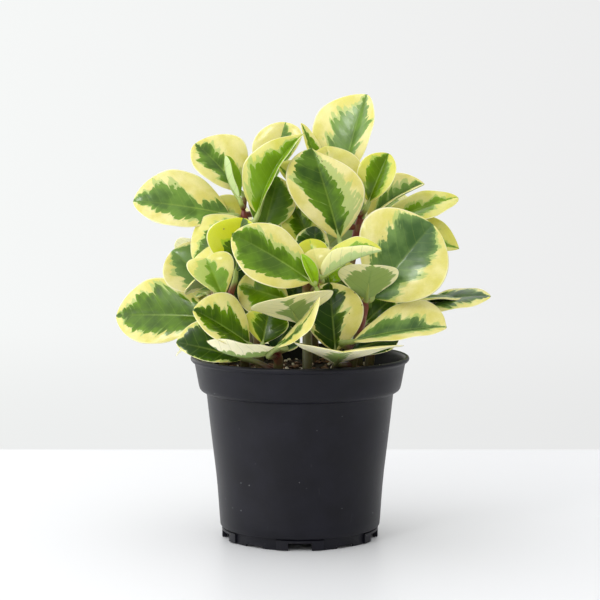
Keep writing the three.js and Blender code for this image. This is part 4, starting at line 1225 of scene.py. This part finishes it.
def make_world():
    world = bpy.data.worlds.new("studio")
    bpy.context.scene.world = world
    world.use_nodes = True
    add = partial(add_node, world.node_tree)
    direction = add("SeparateXYZ", [add("TexCoord").outputs["Generated"]]).outputs
    path = add("LightPath").outputs
    seen = path["Is Camera Ray"]
    glossy = path["Is Glossy Ray"]
    room = add("Math", [glossy, ROOM_DIM_IN_GLOSS - ROOM_DIM, ROOM_DIM], operation="MULTIPLY_ADD")
    window = add("Math", [glossy, ROOM_LEFT_IN_GLOSS - ROOM_LEFT, ROOM_LEFT], operation="MULTIPLY_ADD")
    for axis, power in (("X", window), ("Y", ROOM_WALL), ("Z", ROOM_UP)):
        part = add("MapRange", [direction[axis], *ROOM_SPANS[axis]], **SMOOTH)
        room = add("Math", [part, power, room], operation="MULTIPLY_ADD")
    unseen = add("Math", [1, seen], operation="SUBTRACT")
    painted_backdrop = painted_backdrop_light(add, direction["X"], BACKDROP_SPREAD)
    set_inputs(world.node_tree.nodes["Background"], [
        paint_over(add, "#ffffff", [(seen, 1, painted_backdrop)]),
        add("Math", [room, unseen, seen], operation="MULTIPLY_ADD"),
    ])


def make_floor():
    material, shader, add = new_material("white_floor_and_painted_backdrop_glow")
    set_inputs(shader, {"Base Color": "#d9dadc", "Roughness": 0.42})
    place_on_floor = add("SeparateXYZ", [add("TexCoord").outputs["Object"]]).outputs
    edge = FLOOR_FAR_EDGE * MM
    blend = [edge + step * MM for step in FLOOR_EDGE_BLEND]
    # Beyond its far edge the floor is painted light: it glows with no lamp as a backdrop, lighter on the
    # left, and its glow is painted darker near its foot.
    is_painted_glow = add("MapRange", [place_on_floor["Y"], *blend], **SMOOTH)
    rise = add("MapRange", [place_on_floor["Y"], edge, BACKDROP_SHADE_FADE * MM], **SMOOTH)
    strength = add("Math", [rise, 1 - BACKDROP_FOOT_SHADE, BACKDROP_FOOT_SHADE], operation="MULTIPLY_ADD")
    painted_backdrop_glow = add("Emission", [painted_backdrop_light(add, place_on_floor["X"], FLOOR_SPREAD * MM), strength])
    mixed = add("MixShader", [is_painted_glow, shader, painted_backdrop_glow])
    set_inputs(material.node_tree.nodes["Material Output"], [mixed])
    mesh = new_mesh("studio_floor", ring_spots(FLOOR_RADIUS, 0, FLOOR_STEPS), [tuple(range(FLOOR_STEPS))])
    new_object("studio_floor", mesh, material)


def make_lamp(name, spot, target, size, power):
    data = bpy.data.lights.new(name, "AREA")
    data.shape = "RECTANGLE"
    data.size = size[0] * MM
    data.size_y = size[1] * MM
    data.energy = power
    lamp = bpy.data.objects.new(name, data)
    lamp.location = Vector(spot) * MM
    lamp.rotation_euler = (Vector(target) - Vector(spot)).to_track_quat("-Z", "Y").to_euler()
    bpy.context.collection.objects.link(lamp)


def make_camera():
    data = bpy.data.cameras.new("camera")
    data.lens = LENS
    data.sensor_width = SENSOR
    data.clip_start = 50 * MM
    data.clip_end = 20000 * MM
    camera = bpy.data.objects.new("camera", data)
    camera.location = (0, -EYE_DISTANCE * MM, EYE_HEIGHT * MM)
    camera.rotation_euler = (math.radians(90 - EYE_PITCH), 0, 0)
    bpy.context.collection.objects.link(camera)
    bpy.context.scene.camera = camera


bpy.context.scene.view_settings.view_transform = "Standard"
make_camera()
make_world()
make_floor()
for name, values in LAMPS.items():
    make_lamp(name, *values)
make_pot()
make_soil()
for name, values in STREWN.items():
    strew(name, *values)
skins = (make_blade_material(), make_stem_material(), make_scar_material())
for node, shoot in SHOOTS.items():
    make_shoot(node, shoot, skins)
